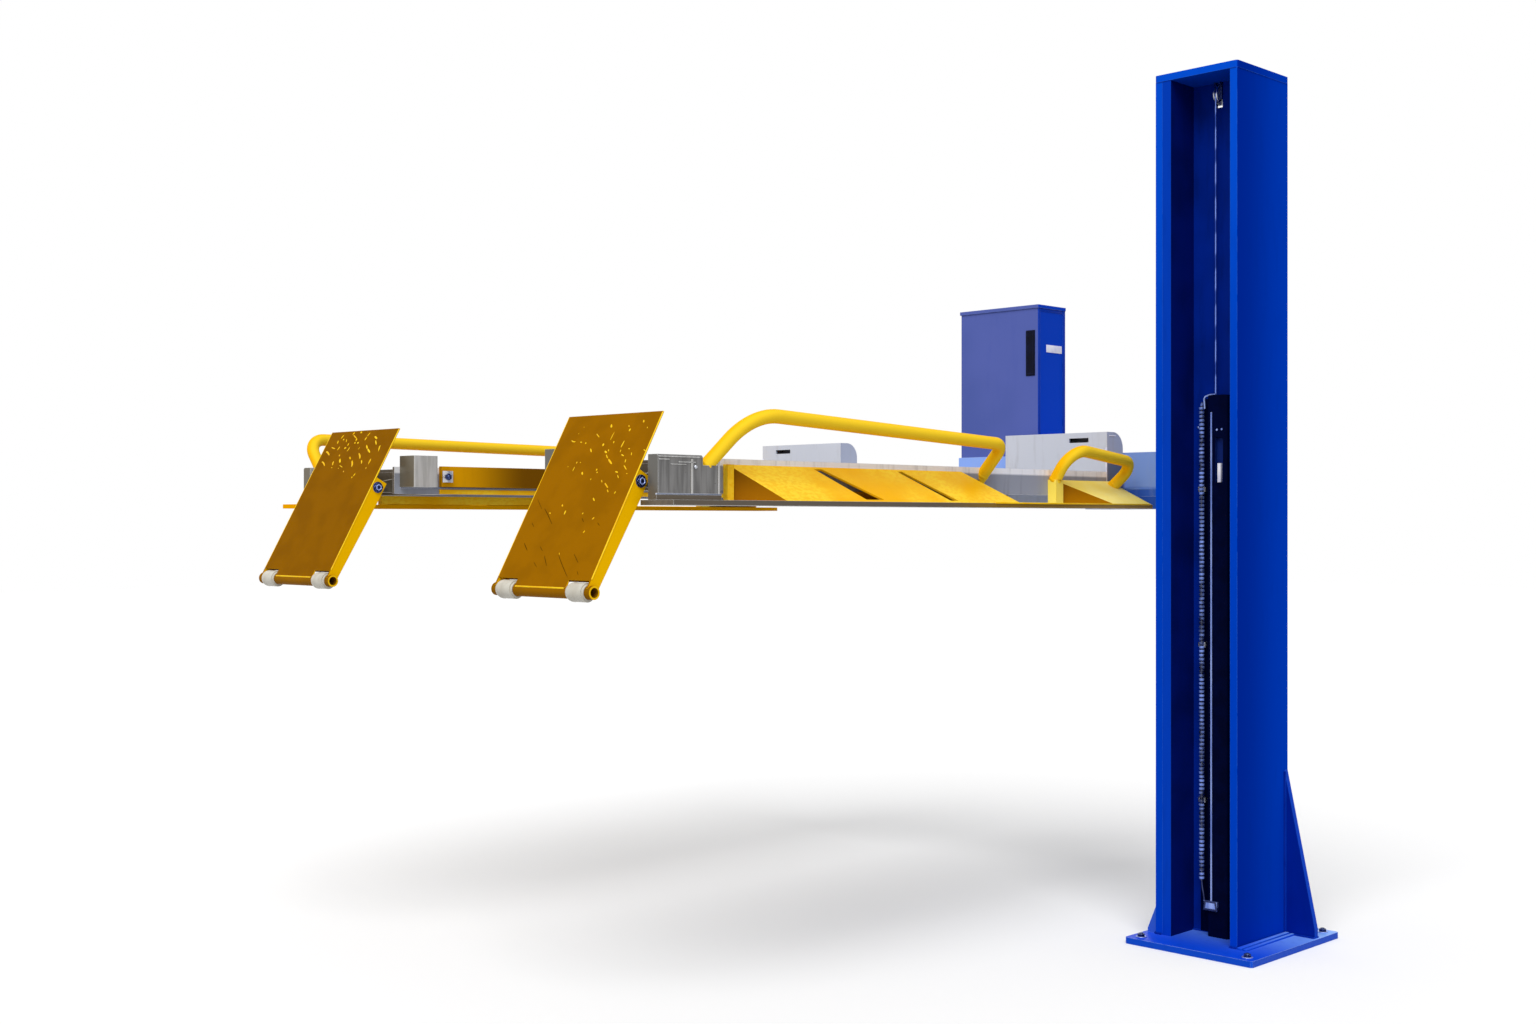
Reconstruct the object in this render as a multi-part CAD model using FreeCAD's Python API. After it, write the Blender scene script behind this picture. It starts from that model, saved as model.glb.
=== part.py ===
import FreeCAD, Part
import math
import os

from FreeCAD import Vector

os.makedirs("parts", exist_ok=True)

# A single-post lift in millimetres. +Z is up. The origin lies on the floor under the
# middle of the post. +X runs along the runways, away from the front ramps, and +Y runs
# from the post to the platform.

# Post: an H-section with its open channels to the front (-X) and the rear (+X)
POST_DEPTH = 313
POST_WIDTH = 292
POST_TOP = 2750
OUTER_FLANGE = 25
INNER_FLANGE = 25
CHANNEL_LINER = 31
WEB_THICKNESS = 16
WEB_CENTRE_X = -12
CAP_THICKNESS = 22
CAP_OVERHANG = 2
CAP_CORNER_RADIUS = 8

# Base plate, wider on the outer side than towards the platform
BASE_THICKNESS = 20
BASE_FRONT_MARGIN = 109
BASE_REAR_MARGIN = 123
BASE_OUTER_MARGIN = 113
BASE_INNER_MARGIN = 45
BASE_CORNER_CUT = 6
BOLT_INSET = 37
BOLT_HOLE = 22

# Gussets at the foot
REAR_GUSSET_HEIGHT = 525
REAR_GUSSET_REACH = 105
REAR_GUSSET_TOE = 30
GUSSET_THICKNESS = 20
FOOT_GUSSET_HEIGHT = 95
FOOT_GUSSET_REACH = 34
FOOT_GUSSET_TOE = 12
FOOT_GUSSET_INSET = 6

# Service channel at the front
COVER_WIDTH = 75
COVER_DEPTH = 50
COVER_CENTRE_Y = -25.5
COVER_TOP = 1745
COVER_WALL = 4
COVER_ROUND = 9
WINDOW_WIDTH = 27
WINDOW_BOTTOM = 1466
WINDOW_TOP = 1610
WINDOW_CENTRE_Y = -32
WINDOW_DEPTH = 12
ROPE_DIAMETER = 6
ROPE_Y = -2
ROPE_HOLE_GAP = 1
SHEAVE_LINE_RADIUS = 28
SHEAVE_RIM = 5
SHEAVE_WIDTH = 14
SHEAVE_BORE = 12
SHEAVE_DROP = 40
SHEAVE_SIDE_GAP = 1
SHEAVE_SLOT_GAP = 8
PULLEY_CHEEK = 5
PULLEY_CHEEK_HALF = 16
ANCHOR_BLOCK_WIDTH = 30
ANCHOR_BLOCK_DEPTH = 24
ANCHOR_BLOCK_HEIGHT = 40
PIPE_DIAMETER = 7
PIPE_Y = -6
PIPE_BOTTOM = 120
PIPE_TOP = 1690
UNION_HEIGHT = 28
UNION_HALF_WIDTH = 23
UNION_DEPTH = 9
CONDUIT_DIAMETER = 17
CONDUIT_Y = 46
CONDUIT_X = -45
CONDUIT_BOTTOM = 190
CONDUIT_TURN_Z = 1728
CONDUIT_TURN = 24
CONDUIT_CLIP_HEIGHT = 16
CONDUIT_CLIPS = 3

# Carriage in the rear channel of the post
CARRIAGE_BOTTOM = 1430
CARRIAGE_TOP = 2200
CARRIAGE_REAR_GAP = 8.5
CARRIAGE_PLATE = 20
CARRIAGE_PLATE_SIDE = 24
GUIDE_FRONT_X = 30
GUIDE_PLATE = 14
GUIDE_RIB = 20
GUIDE_SIDE_GAP = 12
GUIDE_ROLLER = 72
GUIDE_ROLLER_LENGTH = 96
GUIDE_ROLLER_INSET = 90
GUIDE_PIN = 24
RUNNING_GAP = 0.3

# Lift arm, its shelf and the ribs that stiffen it
ARM_FRONT_X = 250
ARM_DEPTH = 150
ARM_TOP = 1585
ARM_END_Y = 1280
ARM_START_Y = -5
ARM_ROOT_Y = 200
RIB_THICKNESS = 16
RIB_HEIGHT = 420
RIB_REACH = 180
SHELF_BOTTOM = 1386
SHELF_START_Y = 255
SHELF_END_Y = 700
BEAM_SPACER_HEIGHT = 90
BEAM_SPACER_LENGTH = 160
BEAM_SPACER_INSET = 77

# Cross beam, with a tall box behind each runway and a low run between them
BEAM_DEPTH = 98
BEAM_BOTTOM = 1405
BEAM_TOP = 1525
BEAM_WALL = 8
REAR_BOX_TOP = 1655
REAR_BOX_ROUND = 58
REAR_BOX_SLOT_WIDTH = 83
REAR_BOX_SLOT_HEIGHT = 16
REAR_BOX_SLOT_INSET = 77
REAR_BOX_SLOT_DROP = 35

# Runways: two alike, mirrored about the platform's middle
PLATFORM_MIDDLE_Y = 1380
RUNWAY_OUTER_Y = 530
RUNWAY_WIDTH = 440
RUNWAY_FRONT_X = -1785
CHEEK_FRONT_X = -1940
RUNWAY_REAR_X = 136
DECK_TOP = 1515.5
DECK_THICKNESS = 10
CHEEK_THICKNESS = 10
CHEEK_BOTTOM = 1430
LEDGE_WIDTH = 130
LEDGE_BOTTOM = 1386
LEDGE_THICKNESS = 14
LEDGE_FRONT_X = -2006
LEDGE_REAR_X = 222
SILL_DEPTH = 60

# Blocks at the runway's front corners and bars along its inner side
OUTER_BLOCK_FRONT_X = -1980
OUTER_BLOCK_LENGTH = 225
OUTER_BLOCK_WIDTH = 40
OUTER_BLOCK_TOP = 1521
BLOCK_STEP_LENGTH = 65
BLOCK_STEP_TOP = 1494
INNER_BLOCK_FRONT_X = -1920
INNER_BLOCK_LENGTH = 90
INNER_BLOCK_WIDTH = 80
INNER_BLOCK_BOTTOM = 1451
INNER_BLOCK_TOP = 1550
BLOCK_EDGE = 5
SIDE_BAR_THICKNESS = 15
SIDE_BAR_BOTTOM = 1454
SIDE_BAR_TOP = 1520
SIDE_BAR_FRONT_X = -1772
SIDE_BAR_BOLT_X = -1745
SQUARE_WASHER = 30
SQUARE_WASHER_THICKNESS = 4
SIDE_BAR_BOLT = 18
SIDE_BAR_BOLT_HEIGHT = 8

# Wedge skirts between the ledge and the runway's outer cheek
WEDGE_TOP = 1500
WEDGE_PLATE = 6
WEDGE_END_PLATE = 6
LONG_WEDGE_TOP_FRONT_X = -1689
LONG_WEDGE_LOW_FRONT_X = -1589
LONG_WEDGE_TOP_REAR_X = -670
LONG_WEDGE_LOW_REAR_X = -530
LONG_WEDGE_SLOTS = ((-1361, -1247, 34, 78), (-996, -864, 22, 38))
LONG_END_POST = 18
WEDGE_SLOT_MARGIN = 0.06
SHORT_WEDGE_TOP = 1482
SHORT_WEDGE_TOP_FRONT_X = -176
SHORT_WEDGE_LOW_FRONT_X = -8
SHORT_WEDGE_TOP_REAR_X = 150
SHORT_WEDGE_LOW_REAR_X = 217
SHORT_END_POST = 34

# Guard tubes over the wedges
TUBE_DIAMETER = 40
TUBE_WALL = 3
GUARD_RAIL_Y = 450
LONG_GUARD_FOOT_X = -1790
LONG_GUARD_CREST_X = -1672
LONG_GUARD_CREST_Z = 1638
LONG_GUARD_REAR_X = -556
LONG_GUARD_REAR_Z = 1587
LONG_GUARD_REAR_FOOT_X = -562
LONG_GUARD_REAR_FOOT_Z = 1492
LONG_GUARD_SWEEP = 190
FAR_GUARD_FOOT_X = -1930
FAR_GUARD_CREST_X = -1943
FAR_GUARD_CREST_Z = 1619
FAR_GUARD_REAR_Z = 1603
FAR_GUARD_SWEEP = 55
GUARD_BEND = 42
GUARD_TRIM = 100
SHORT_GUARD_FOOT_INSET = 16
SHORT_GUARD_CREST_X = -186
SHORT_GUARD_CREST_Z = 1586
SHORT_GUARD_REAR_X = 191
SHORT_GUARD_REAR_Z = 1544
SHORT_GUARD_REAR_FOOT_X = 138
SHORT_GUARD_REAR_FOOT_SHARE = 0.19
SHORT_GUARD_SWEEP = 80

# Cabinet on the lift arm
CABINET_DEPTH = 168
CABINET_START_Y = 908
CABINET_WIDTH = 362
CABINET_TOP = 2129
CABINET_LID = 12
CABINET_LID_OVERHANG = 4
CABINET_DOOR = 8
CABINET_DOOR_MARGIN = 14
CABINET_EDGE = 6

# Front ramps, shown hanging on their stops
RAMP_TILT = 61
RAMP_SIDE_GAP = 10
PIVOT_X = -1988
PIVOT_Z = 1450
PIVOT_TO_FACE = 22
RAMP_PLATE = 4
RAMP_UPPER = 204
RAMP_LOWER = 334
RAMP_FLANGE = 6
FLANGE_DEPTH_PIVOT = 45
FLANGE_DEPTH_FOOT = 33
FLANGE_EAR = 26
CROSS_TUBE = 36
CROSS_TUBE_WALL = 5
CROSS_TUBE_OVERRUN = 10
ROLLER_DIAMETER = 51
ROLLER_LENGTH = 75
ROLLER_HUB = 6
ROLLER_HUB_STEP = 4.5
ROLLER_DOME = 24
ROLLER_DOME_STEP = 6
ROLLER_SIDE_GAP = 5
ROLLER_NOTCH_GAP = 4
LUG_THICKNESS = 16
LUG_RADIUS = 14
LUG_FLANGE_GAP = 8
PIVOT_BOLT = 12
PIVOT_HOLE_GAP = 0.3
PIVOT_BOLT_HEAD = 28
PIVOT_BOLT_HEAD_HEIGHT = 7
PIVOT_NUT = 19
PIVOT_NUT_HEIGHT = 9
PIVOT_NUT_GAP = 1
PIVOT_BOLT_END = 3
RAMP_LOW_TILT = 11.5

POST_FRONT_X = -POST_DEPTH / 2
POST_REAR_X = POST_DEPTH / 2
POST_OUTER_Y = -POST_WIDTH / 2
POST_INNER_Y = POST_WIDTH / 2
WEB_FRONT_X = WEB_CENTRE_X - WEB_THICKNESS / 2
WEB_REAR_X = WEB_CENTRE_X + WEB_THICKNESS / 2
CHANNEL_OUTER_Y = POST_OUTER_Y + OUTER_FLANGE
CHANNEL_INNER_Y = POST_INNER_Y - INNER_FLANGE
LINER_FACE_Y = CHANNEL_INNER_Y - CHANNEL_LINER
COVER_FRONT_X = WEB_FRONT_X - COVER_DEPTH
SHEAVE_Z = POST_TOP - SHEAVE_DROP
CARRIAGE_PLATE_X = POST_REAR_X + CARRIAGE_REAR_GAP
CARRIAGE_BACK_X = CARRIAGE_PLATE_X + CARRIAGE_PLATE
ARM_BACK_X = ARM_FRONT_X + ARM_DEPTH
BEAM_REAR_X = RUNWAY_REAR_X + BEAM_DEPTH
RUNWAY_INNER_Y = RUNWAY_OUTER_Y + RUNWAY_WIDTH
LEDGE_EDGE_Y = RUNWAY_OUTER_Y - LEDGE_WIDTH
LEDGE_TOP = LEDGE_BOTTOM + LEDGE_THICKNESS
RAMP_START_Y = RUNWAY_OUTER_Y + CHEEK_THICKNESS + RAMP_SIDE_GAP
RAMP_END_Y = RUNWAY_INNER_Y - CHEEK_THICKNESS - RAMP_SIDE_GAP
FAR_INNER_Y = 2 * PLATFORM_MIDDLE_Y - RUNWAY_INNER_Y


def box(x0, x1, y0, y1, z0, z1):
    """A block between two corners."""
    return Part.makeBox(x1 - x0, y1 - y0, z1 - z0, Vector(x0, y0, z0))


def prism(points, direction):
    """A flat outline of 3-D points pushed along a direction."""
    outline = Part.makePolygon(points + points[:1])
    return Part.Face(outline).extrude(direction)


def rod(start, axis, radius, length):
    """A round bar."""
    return Part.makeCylinder(radius, length, start, axis)


def hexagon(centre, axis, across_flats, height):
    """A hexagonal head that stands on its centre point."""
    side = across_flats / math.sqrt(3)
    turn = FreeCAD.Rotation(Vector(0, 0, 1), axis)
    corners = []
    for step in range(6):
        angle = math.radians(60 * step)
        corner = Vector(side * math.cos(angle), side * math.sin(angle), 0)
        corners.append(centre + turn.multVec(corner))
    return prism(corners, axis * height)


def rounded_path(points, radii):
    """Straight runs through the points with a tangent arc at each inner point."""
    edges = []
    start = points[0]
    for index, radius in enumerate(radii, 1):
        corner = points[index]
        back = (points[index - 1] - corner).normalize()
        ahead = (points[index + 1] - corner).normalize()
        half = back.getAngle(ahead) / 2
        reach = radius / math.tan(half)
        middle = (back + ahead).normalize()
        centre = corner + middle * (radius / math.sin(half))
        arc_start = corner + back * reach
        arc_end = corner + ahead * reach
        if (arc_start - start).Length > 0.01:
            edges.append(Part.makeLine(start, arc_start))
        edges.append(Part.Arc(arc_start, centre - middle * radius, arc_end).toShape())
        start = arc_end
    edges.append(Part.makeLine(start, points[-1]))
    return Part.Wire(edges)


def swept_tube(points, radii, diameter, wall=0):
    """A round tube, or a bar where no wall is given, bent along the points."""
    path = rounded_path(points, radii)
    heading = points[1] - points[0]

    def sweep(radius):
        ring = Part.Wire(Part.makeCircle(radius, points[0], heading))
        return path.makePipeShell([ring], True, False)

    tube = sweep(diameter / 2)
    if wall:
        tube = tube.cut(sweep(diameter / 2 - wall))
    return tube


def mirrored(shape):
    """The same piece on the far side of the platform's middle."""
    return shape.mirror(Vector(0, PLATFORM_MIDDLE_Y, 0), Vector(0, 1, 0))


def edges_along(shape, axis, x=None, y=None, z=None):
    """Straight edges along an axis that lie at the given coordinates."""
    found = []
    for edge in shape.Edges:
        first = edge.Vertexes[0].Point
        last = edge.Vertexes[-1].Point
        run = last - first
        if run.Length < 0.01 or abs(abs(run.normalize().dot(axis)) - 1) > 1e-6:
            continue
        wanted = ((x, first.x), (y, first.y), (z, first.z))
        if all(goal is None or abs(goal - value) < 0.01 for goal, value in wanted):
            found.append(edge)
    return found


def save(name, *shapes):
    """Write one node."""
    shape = shapes[0] if len(shapes) == 1 else Part.makeCompound(shapes)
    shape.exportStep("parts/" + name + ".step")


# Post


def bolt_centres():
    """Middles of the four anchor bolts."""
    xs = (POST_FRONT_X - BASE_FRONT_MARGIN + BOLT_INSET, POST_REAR_X + BASE_REAR_MARGIN - BOLT_INSET)
    ys = (POST_OUTER_Y - BASE_OUTER_MARGIN + BOLT_INSET, POST_INNER_Y + BASE_INNER_MARGIN - BOLT_INSET)
    return [(x, y) for x in xs for y in ys]


def base_plate():
    """Floor plate with cut corners and a hole for each anchor bolt."""
    plate = box(
        POST_FRONT_X - BASE_FRONT_MARGIN, POST_REAR_X + BASE_REAR_MARGIN,
        POST_OUTER_Y - BASE_OUTER_MARGIN, POST_INNER_Y + BASE_INNER_MARGIN,
        0, BASE_THICKNESS)
    plate = plate.makeChamfer(BASE_CORNER_CUT, edges_along(plate, Vector(0, 0, 1)))
    for x, y in bolt_centres():
        plate = plate.cut(rod(Vector(x, y, 0), Vector(0, 0, 1), BOLT_HOLE / 2, BASE_THICKNESS))
    return plate


def post_web():
    """Web between the flanges, slotted for the rope pulley."""
    web = box(WEB_FRONT_X, WEB_REAR_X, CHANNEL_OUTER_Y, CHANNEL_INNER_Y, BASE_THICKNESS, POST_TOP)
    half = SHEAVE_WIDTH / 2 + SHEAVE_SIDE_GAP + PULLEY_CHEEK
    reach = SHEAVE_LINE_RADIUS + SHEAVE_RIM + SHEAVE_SLOT_GAP
    slot = box(WEB_FRONT_X, WEB_REAR_X, ROPE_Y - half, ROPE_Y + half, SHEAVE_Z - reach, POST_TOP)
    return web.cut(slot)


def post_cap():
    """Square plate on top of the section."""
    cap = box(
        POST_FRONT_X - CAP_OVERHANG, POST_REAR_X + CAP_OVERHANG,
        POST_OUTER_Y - CAP_OVERHANG, POST_INNER_Y + CAP_OVERHANG,
        POST_TOP, POST_TOP + CAP_THICKNESS)
    return cap.makeFillet(CAP_CORNER_RADIUS, edges_along(cap, Vector(0, 0, 1)))


def rear_gusset():
    """Tall triangular stiffener outside the outer flange's rear edge."""
    reach_y = POST_OUTER_Y - REAR_GUSSET_REACH
    x = POST_REAR_X - GUSSET_THICKNESS
    outline = [
        Vector(x, POST_OUTER_Y, BASE_THICKNESS),
        Vector(x, reach_y, BASE_THICKNESS),
        Vector(x, reach_y, BASE_THICKNESS + REAR_GUSSET_TOE),
        Vector(x, POST_OUTER_Y, BASE_THICKNESS + REAR_GUSSET_HEIGHT),
    ]
    return prism(outline, Vector(GUSSET_THICKNESS, 0, 0))


def foot_gusset(x):
    """Small stiffener on the platform side of the inner flange."""
    reach_y = POST_INNER_Y + FOOT_GUSSET_REACH
    outline = [
        Vector(x, POST_INNER_Y, BASE_THICKNESS),
        Vector(x, reach_y, BASE_THICKNESS),
        Vector(x, reach_y, BASE_THICKNESS + FOOT_GUSSET_TOE),
        Vector(x, POST_INNER_Y, BASE_THICKNESS + FOOT_GUSSET_HEIGHT),
    ]
    return prism(outline, Vector(GUSSET_THICKNESS, 0, 0))


def build_post():
    save("base_plate", base_plate())
    save("post_web", post_web())
    save("post_outer_flange", box(
        POST_FRONT_X, POST_REAR_X, POST_OUTER_Y, CHANNEL_OUTER_Y, BASE_THICKNESS, POST_TOP))
    save("post_inner_flange", box(
        POST_FRONT_X, POST_REAR_X, CHANNEL_INNER_Y, POST_INNER_Y, BASE_THICKNESS, POST_TOP))
    save("post_channel_liner", box(
        POST_FRONT_X, WEB_FRONT_X, LINER_FACE_Y, CHANNEL_INNER_Y, BASE_THICKNESS, POST_TOP))
    save("post_cap", post_cap())
    save("rear_gusset", rear_gusset())
    front_x = POST_FRONT_X + FOOT_GUSSET_INSET
    rear_x = POST_REAR_X - FOOT_GUSSET_INSET - GUSSET_THICKNESS
    save("foot_gussets", foot_gusset(front_x), foot_gusset(rear_x))


# Service channel


def rope_front_x():
    """Centre line of the rope's front run."""
    return WEB_CENTRE_X - SHEAVE_LINE_RADIUS


def cylinder_cover():
    """Upright sheet cover on the web, open below, with a window and a rope hole."""
    side = COVER_WIDTH / 2
    outer = box(
        COVER_FRONT_X, WEB_FRONT_X, COVER_CENTRE_Y - side, COVER_CENTRE_Y + side,
        BASE_THICKNESS, COVER_TOP)
    top_edges = edges_along(outer, Vector(1, 0, 0), z=COVER_TOP)
    upright_edges = edges_along(outer, Vector(0, 0, 1), x=COVER_FRONT_X)
    outer = outer.makeFillet(COVER_ROUND, top_edges + upright_edges)
    inner = box(
        COVER_FRONT_X + COVER_WALL, WEB_FRONT_X, COVER_CENTRE_Y - side + COVER_WALL,
        COVER_CENTRE_Y + side - COVER_WALL, BASE_THICKNESS, COVER_TOP - COVER_WALL)
    window = box(
        COVER_FRONT_X, COVER_FRONT_X + COVER_WALL, WINDOW_CENTRE_Y - WINDOW_WIDTH / 2,
        WINDOW_CENTRE_Y + WINDOW_WIDTH / 2, WINDOW_BOTTOM, WINDOW_TOP)
    hole = rod(
        Vector(rope_front_x(), ROPE_Y, COVER_TOP - COVER_WALL), Vector(0, 0, 1),
        ROPE_DIAMETER / 2 + ROPE_HOLE_GAP, COVER_WALL)
    return outer.cut(inner).cut(window).cut(hole)


def window_tray():
    """Shallow tray behind the cover's window."""
    rim = WINDOW_WIDTH / 2 + COVER_WALL
    outer = box(
        COVER_FRONT_X + COVER_WALL, COVER_FRONT_X + COVER_WALL + WINDOW_DEPTH,
        WINDOW_CENTRE_Y - rim, WINDOW_CENTRE_Y + rim,
        WINDOW_BOTTOM - COVER_WALL, WINDOW_TOP + COVER_WALL)
    inner = box(
        COVER_FRONT_X + COVER_WALL, COVER_FRONT_X + WINDOW_DEPTH,
        WINDOW_CENTRE_Y - WINDOW_WIDTH / 2, WINDOW_CENTRE_Y + WINDOW_WIDTH / 2,
        WINDOW_BOTTOM, WINDOW_TOP)
    return outer.cut(inner)


def rope_pulley():
    """Grooved sheave under the cap, half in each channel."""
    centre = Vector(WEB_CENTRE_X, ROPE_Y - SHEAVE_WIDTH / 2, SHEAVE_Z)
    across = Vector(0, 1, 0)
    wheel = rod(centre, across, SHEAVE_LINE_RADIUS + SHEAVE_RIM, SHEAVE_WIDTH)
    groove = Part.makeTorus(
        SHEAVE_LINE_RADIUS, ROPE_DIAMETER / 2, Vector(WEB_CENTRE_X, ROPE_Y, SHEAVE_Z), across)
    mouth = rod(
        Vector(WEB_CENTRE_X, ROPE_Y - ROPE_DIAMETER / 2, SHEAVE_Z), across,
        SHEAVE_LINE_RADIUS + SHEAVE_RIM, ROPE_DIAMETER)
    core = rod(
        Vector(WEB_CENTRE_X, ROPE_Y - ROPE_DIAMETER / 2, SHEAVE_Z), across,
        SHEAVE_LINE_RADIUS, ROPE_DIAMETER)
    bore = rod(centre, across, SHEAVE_BORE / 2 + RUNNING_GAP, SHEAVE_WIDTH)
    return wheel.cut(groove).cut(mouth.cut(core)).cut(bore)


def pulley_bracket():
    """Two cheeks that hang from the cap and the pulley's axle between them."""
    near = ROPE_Y - SHEAVE_WIDTH / 2 - SHEAVE_SIDE_GAP - PULLEY_CHEEK
    far = ROPE_Y + SHEAVE_WIDTH / 2 + SHEAVE_SIDE_GAP
    bottom = SHEAVE_Z - PULLEY_CHEEK_HALF
    axle = rod(
        Vector(WEB_CENTRE_X, near, SHEAVE_Z), Vector(0, 1, 0), SHEAVE_BORE / 2,
        far + PULLEY_CHEEK - near)
    for y in (near, far):
        cheek = box(
            WEB_CENTRE_X - PULLEY_CHEEK_HALF, WEB_CENTRE_X + PULLEY_CHEEK_HALF,
            y, y + PULLEY_CHEEK, bottom, POST_TOP)
        axle = axle.fuse(cheek)
    return axle


def lift_rope():
    """Rope from the cover up over the pulley and down the rear channel."""
    front_x = rope_front_x()
    rear_x = WEB_CENTRE_X + SHEAVE_LINE_RADIUS
    radius = ROPE_DIAMETER / 2
    bottom = BASE_THICKNESS + ANCHOR_BLOCK_HEIGHT
    front_low = COVER_TOP - COVER_WALL
    front = rod(Vector(front_x, ROPE_Y, front_low), Vector(0, 0, 1), radius, SHEAVE_Z - front_low)
    rear = rod(Vector(rear_x, ROPE_Y, bottom), Vector(0, 0, 1), radius, SHEAVE_Z - bottom)
    ring = Part.Face(Part.Wire(Part.makeCircle(
        radius, Vector(front_x, ROPE_Y, SHEAVE_Z), Vector(0, 0, 1))))
    over = ring.revolve(Vector(WEB_CENTRE_X, ROPE_Y, SHEAVE_Z), Vector(0, 1, 0), 180)
    return front.fuse(over).fuse(rear)


def rope_anchor():
    """Block on the base plate that holds the rope's rear end."""
    x = WEB_CENTRE_X + SHEAVE_LINE_RADIUS
    block = box(
        WEB_REAR_X, x + ANCHOR_BLOCK_DEPTH / 2, ROPE_Y - ANCHOR_BLOCK_WIDTH / 2,
        ROPE_Y + ANCHOR_BLOCK_WIDTH / 2, BASE_THICKNESS, BASE_THICKNESS + ANCHOR_BLOCK_HEIGHT)
    return block


def oil_pipe():
    """Thin pipe in front of the cover and the union block at its foot."""
    x = COVER_FRONT_X - PIPE_DIAMETER / 2
    pipe = rod(
        Vector(x, PIPE_Y, PIPE_BOTTOM), Vector(0, 0, 1), PIPE_DIAMETER / 2, PIPE_TOP - PIPE_BOTTOM)
    union = box(
        COVER_FRONT_X - UNION_DEPTH, COVER_FRONT_X, PIPE_Y - UNION_HALF_WIDTH,
        PIPE_Y + UNION_HALF_WIDTH, PIPE_BOTTOM - UNION_HEIGHT / 2, PIPE_BOTTOM + UNION_HEIGHT / 2)
    return pipe.fuse(union)


def conduit():
    """Ribbed conduit beside the cover, bent into the cover's side at the top."""
    cover_side = COVER_CENTRE_Y + COVER_WIDTH / 2
    points = [
        Vector(CONDUIT_X, CONDUIT_Y, CONDUIT_BOTTOM),
        Vector(CONDUIT_X, CONDUIT_Y, CONDUIT_TURN_Z),
        Vector(CONDUIT_X, cover_side, CONDUIT_TURN_Z),
    ]
    return swept_tube(points, [CONDUIT_TURN], CONDUIT_DIAMETER)


def conduit_clip(z):
    """Bracket from the web round the conduit."""
    half = CONDUIT_DIAMETER / 2 + COVER_WALL
    clip = box(
        CONDUIT_X, WEB_FRONT_X, CONDUIT_Y - half, CONDUIT_Y + half, z, z + CONDUIT_CLIP_HEIGHT)
    bore = rod(
        Vector(CONDUIT_X, CONDUIT_Y, z), Vector(0, 0, 1), CONDUIT_DIAMETER / 2, CONDUIT_CLIP_HEIGHT)
    return clip.cut(bore)


def build_service_channel():
    save("cylinder_cover", cylinder_cover().fuse(window_tray()))
    save("rope_pulley", rope_pulley())
    save("pulley_bracket", pulley_bracket())
    save("lift_rope", lift_rope())
    save("rope_anchor", rope_anchor())
    save("oil_pipe", oil_pipe())
    save("conduit", conduit())
    span = CONDUIT_TURN_Z - CONDUIT_TURN - CONDUIT_BOTTOM - CONDUIT_CLIP_HEIGHT
    heights = [CONDUIT_BOTTOM + span * (step + 0.5) / CONDUIT_CLIPS for step in range(CONDUIT_CLIPS)]
    save("conduit_clips", *[conduit_clip(z) for z in heights])


# Carriage and arm


def guide_roller_places():
    """Y and Z of the four guide rollers that run on the flanges' inner faces."""
    y_outer = CHANNEL_OUTER_Y + RUNNING_GAP + GUIDE_ROLLER / 2
    y_inner = CHANNEL_INNER_Y - RUNNING_GAP - GUIDE_ROLLER / 2
    zs = (CARRIAGE_BOTTOM + GUIDE_ROLLER_INSET, CARRIAGE_TOP - GUIDE_ROLLER_INSET)
    return [(y, z) for y in (y_outer, y_inner) for z in zs]


def guide_pin(y, z):
    """Pin of one guide roller, held by the guide plate and the carriage plate."""
    pin = rod(Vector(GUIDE_FRONT_X, y, z), Vector(1, 0, 0), GUIDE_PIN / 2, CARRIAGE_BACK_X - GUIDE_FRONT_X)
    return pin


def carriage():
    """I-shaped slide: a guide plate in the channel, a rib and a plate behind the post."""
    side = CHANNEL_INNER_Y - GUIDE_SIDE_GAP
    back_side = POST_INNER_Y - CARRIAGE_PLATE_SIDE
    slide = box(
        GUIDE_FRONT_X, GUIDE_FRONT_X + GUIDE_PLATE, -side, side, CARRIAGE_BOTTOM, CARRIAGE_TOP)
    slide = slide.fuse(box(
        GUIDE_FRONT_X + GUIDE_PLATE, CARRIAGE_PLATE_X, -GUIDE_RIB / 2, GUIDE_RIB / 2,
        CARRIAGE_BOTTOM, CARRIAGE_TOP))
    slide = slide.fuse(box(
        CARRIAGE_PLATE_X, CARRIAGE_BACK_X, -back_side, back_side, CARRIAGE_BOTTOM, CARRIAGE_TOP))
    for y, z in guide_roller_places():
        slide = slide.cut(guide_pin(y, z))
    return slide


def guide_roller(y, z):
    """One guide roller with its bore."""
    start = (GUIDE_FRONT_X + GUIDE_PLATE + CARRIAGE_PLATE_X - GUIDE_ROLLER_LENGTH) / 2
    roller = rod(Vector(start, y, z), Vector(1, 0, 0), GUIDE_ROLLER / 2, GUIDE_ROLLER_LENGTH)
    bore = rod(
        Vector(start, y, z), Vector(1, 0, 0), GUIDE_PIN / 2 + RUNNING_GAP, GUIDE_ROLLER_LENGTH)
    return roller.cut(bore)


def beam_spacer(y):
    """Block between the arm and the cross beam."""
    z0 = CARRIAGE_BOTTOM + (BEAM_TOP - CARRIAGE_BOTTOM - BEAM_SPACER_HEIGHT) / 2
    return box(BEAM_REAR_X, ARM_FRONT_X, y, y + BEAM_SPACER_LENGTH, z0, z0 + BEAM_SPACER_HEIGHT)


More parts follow.
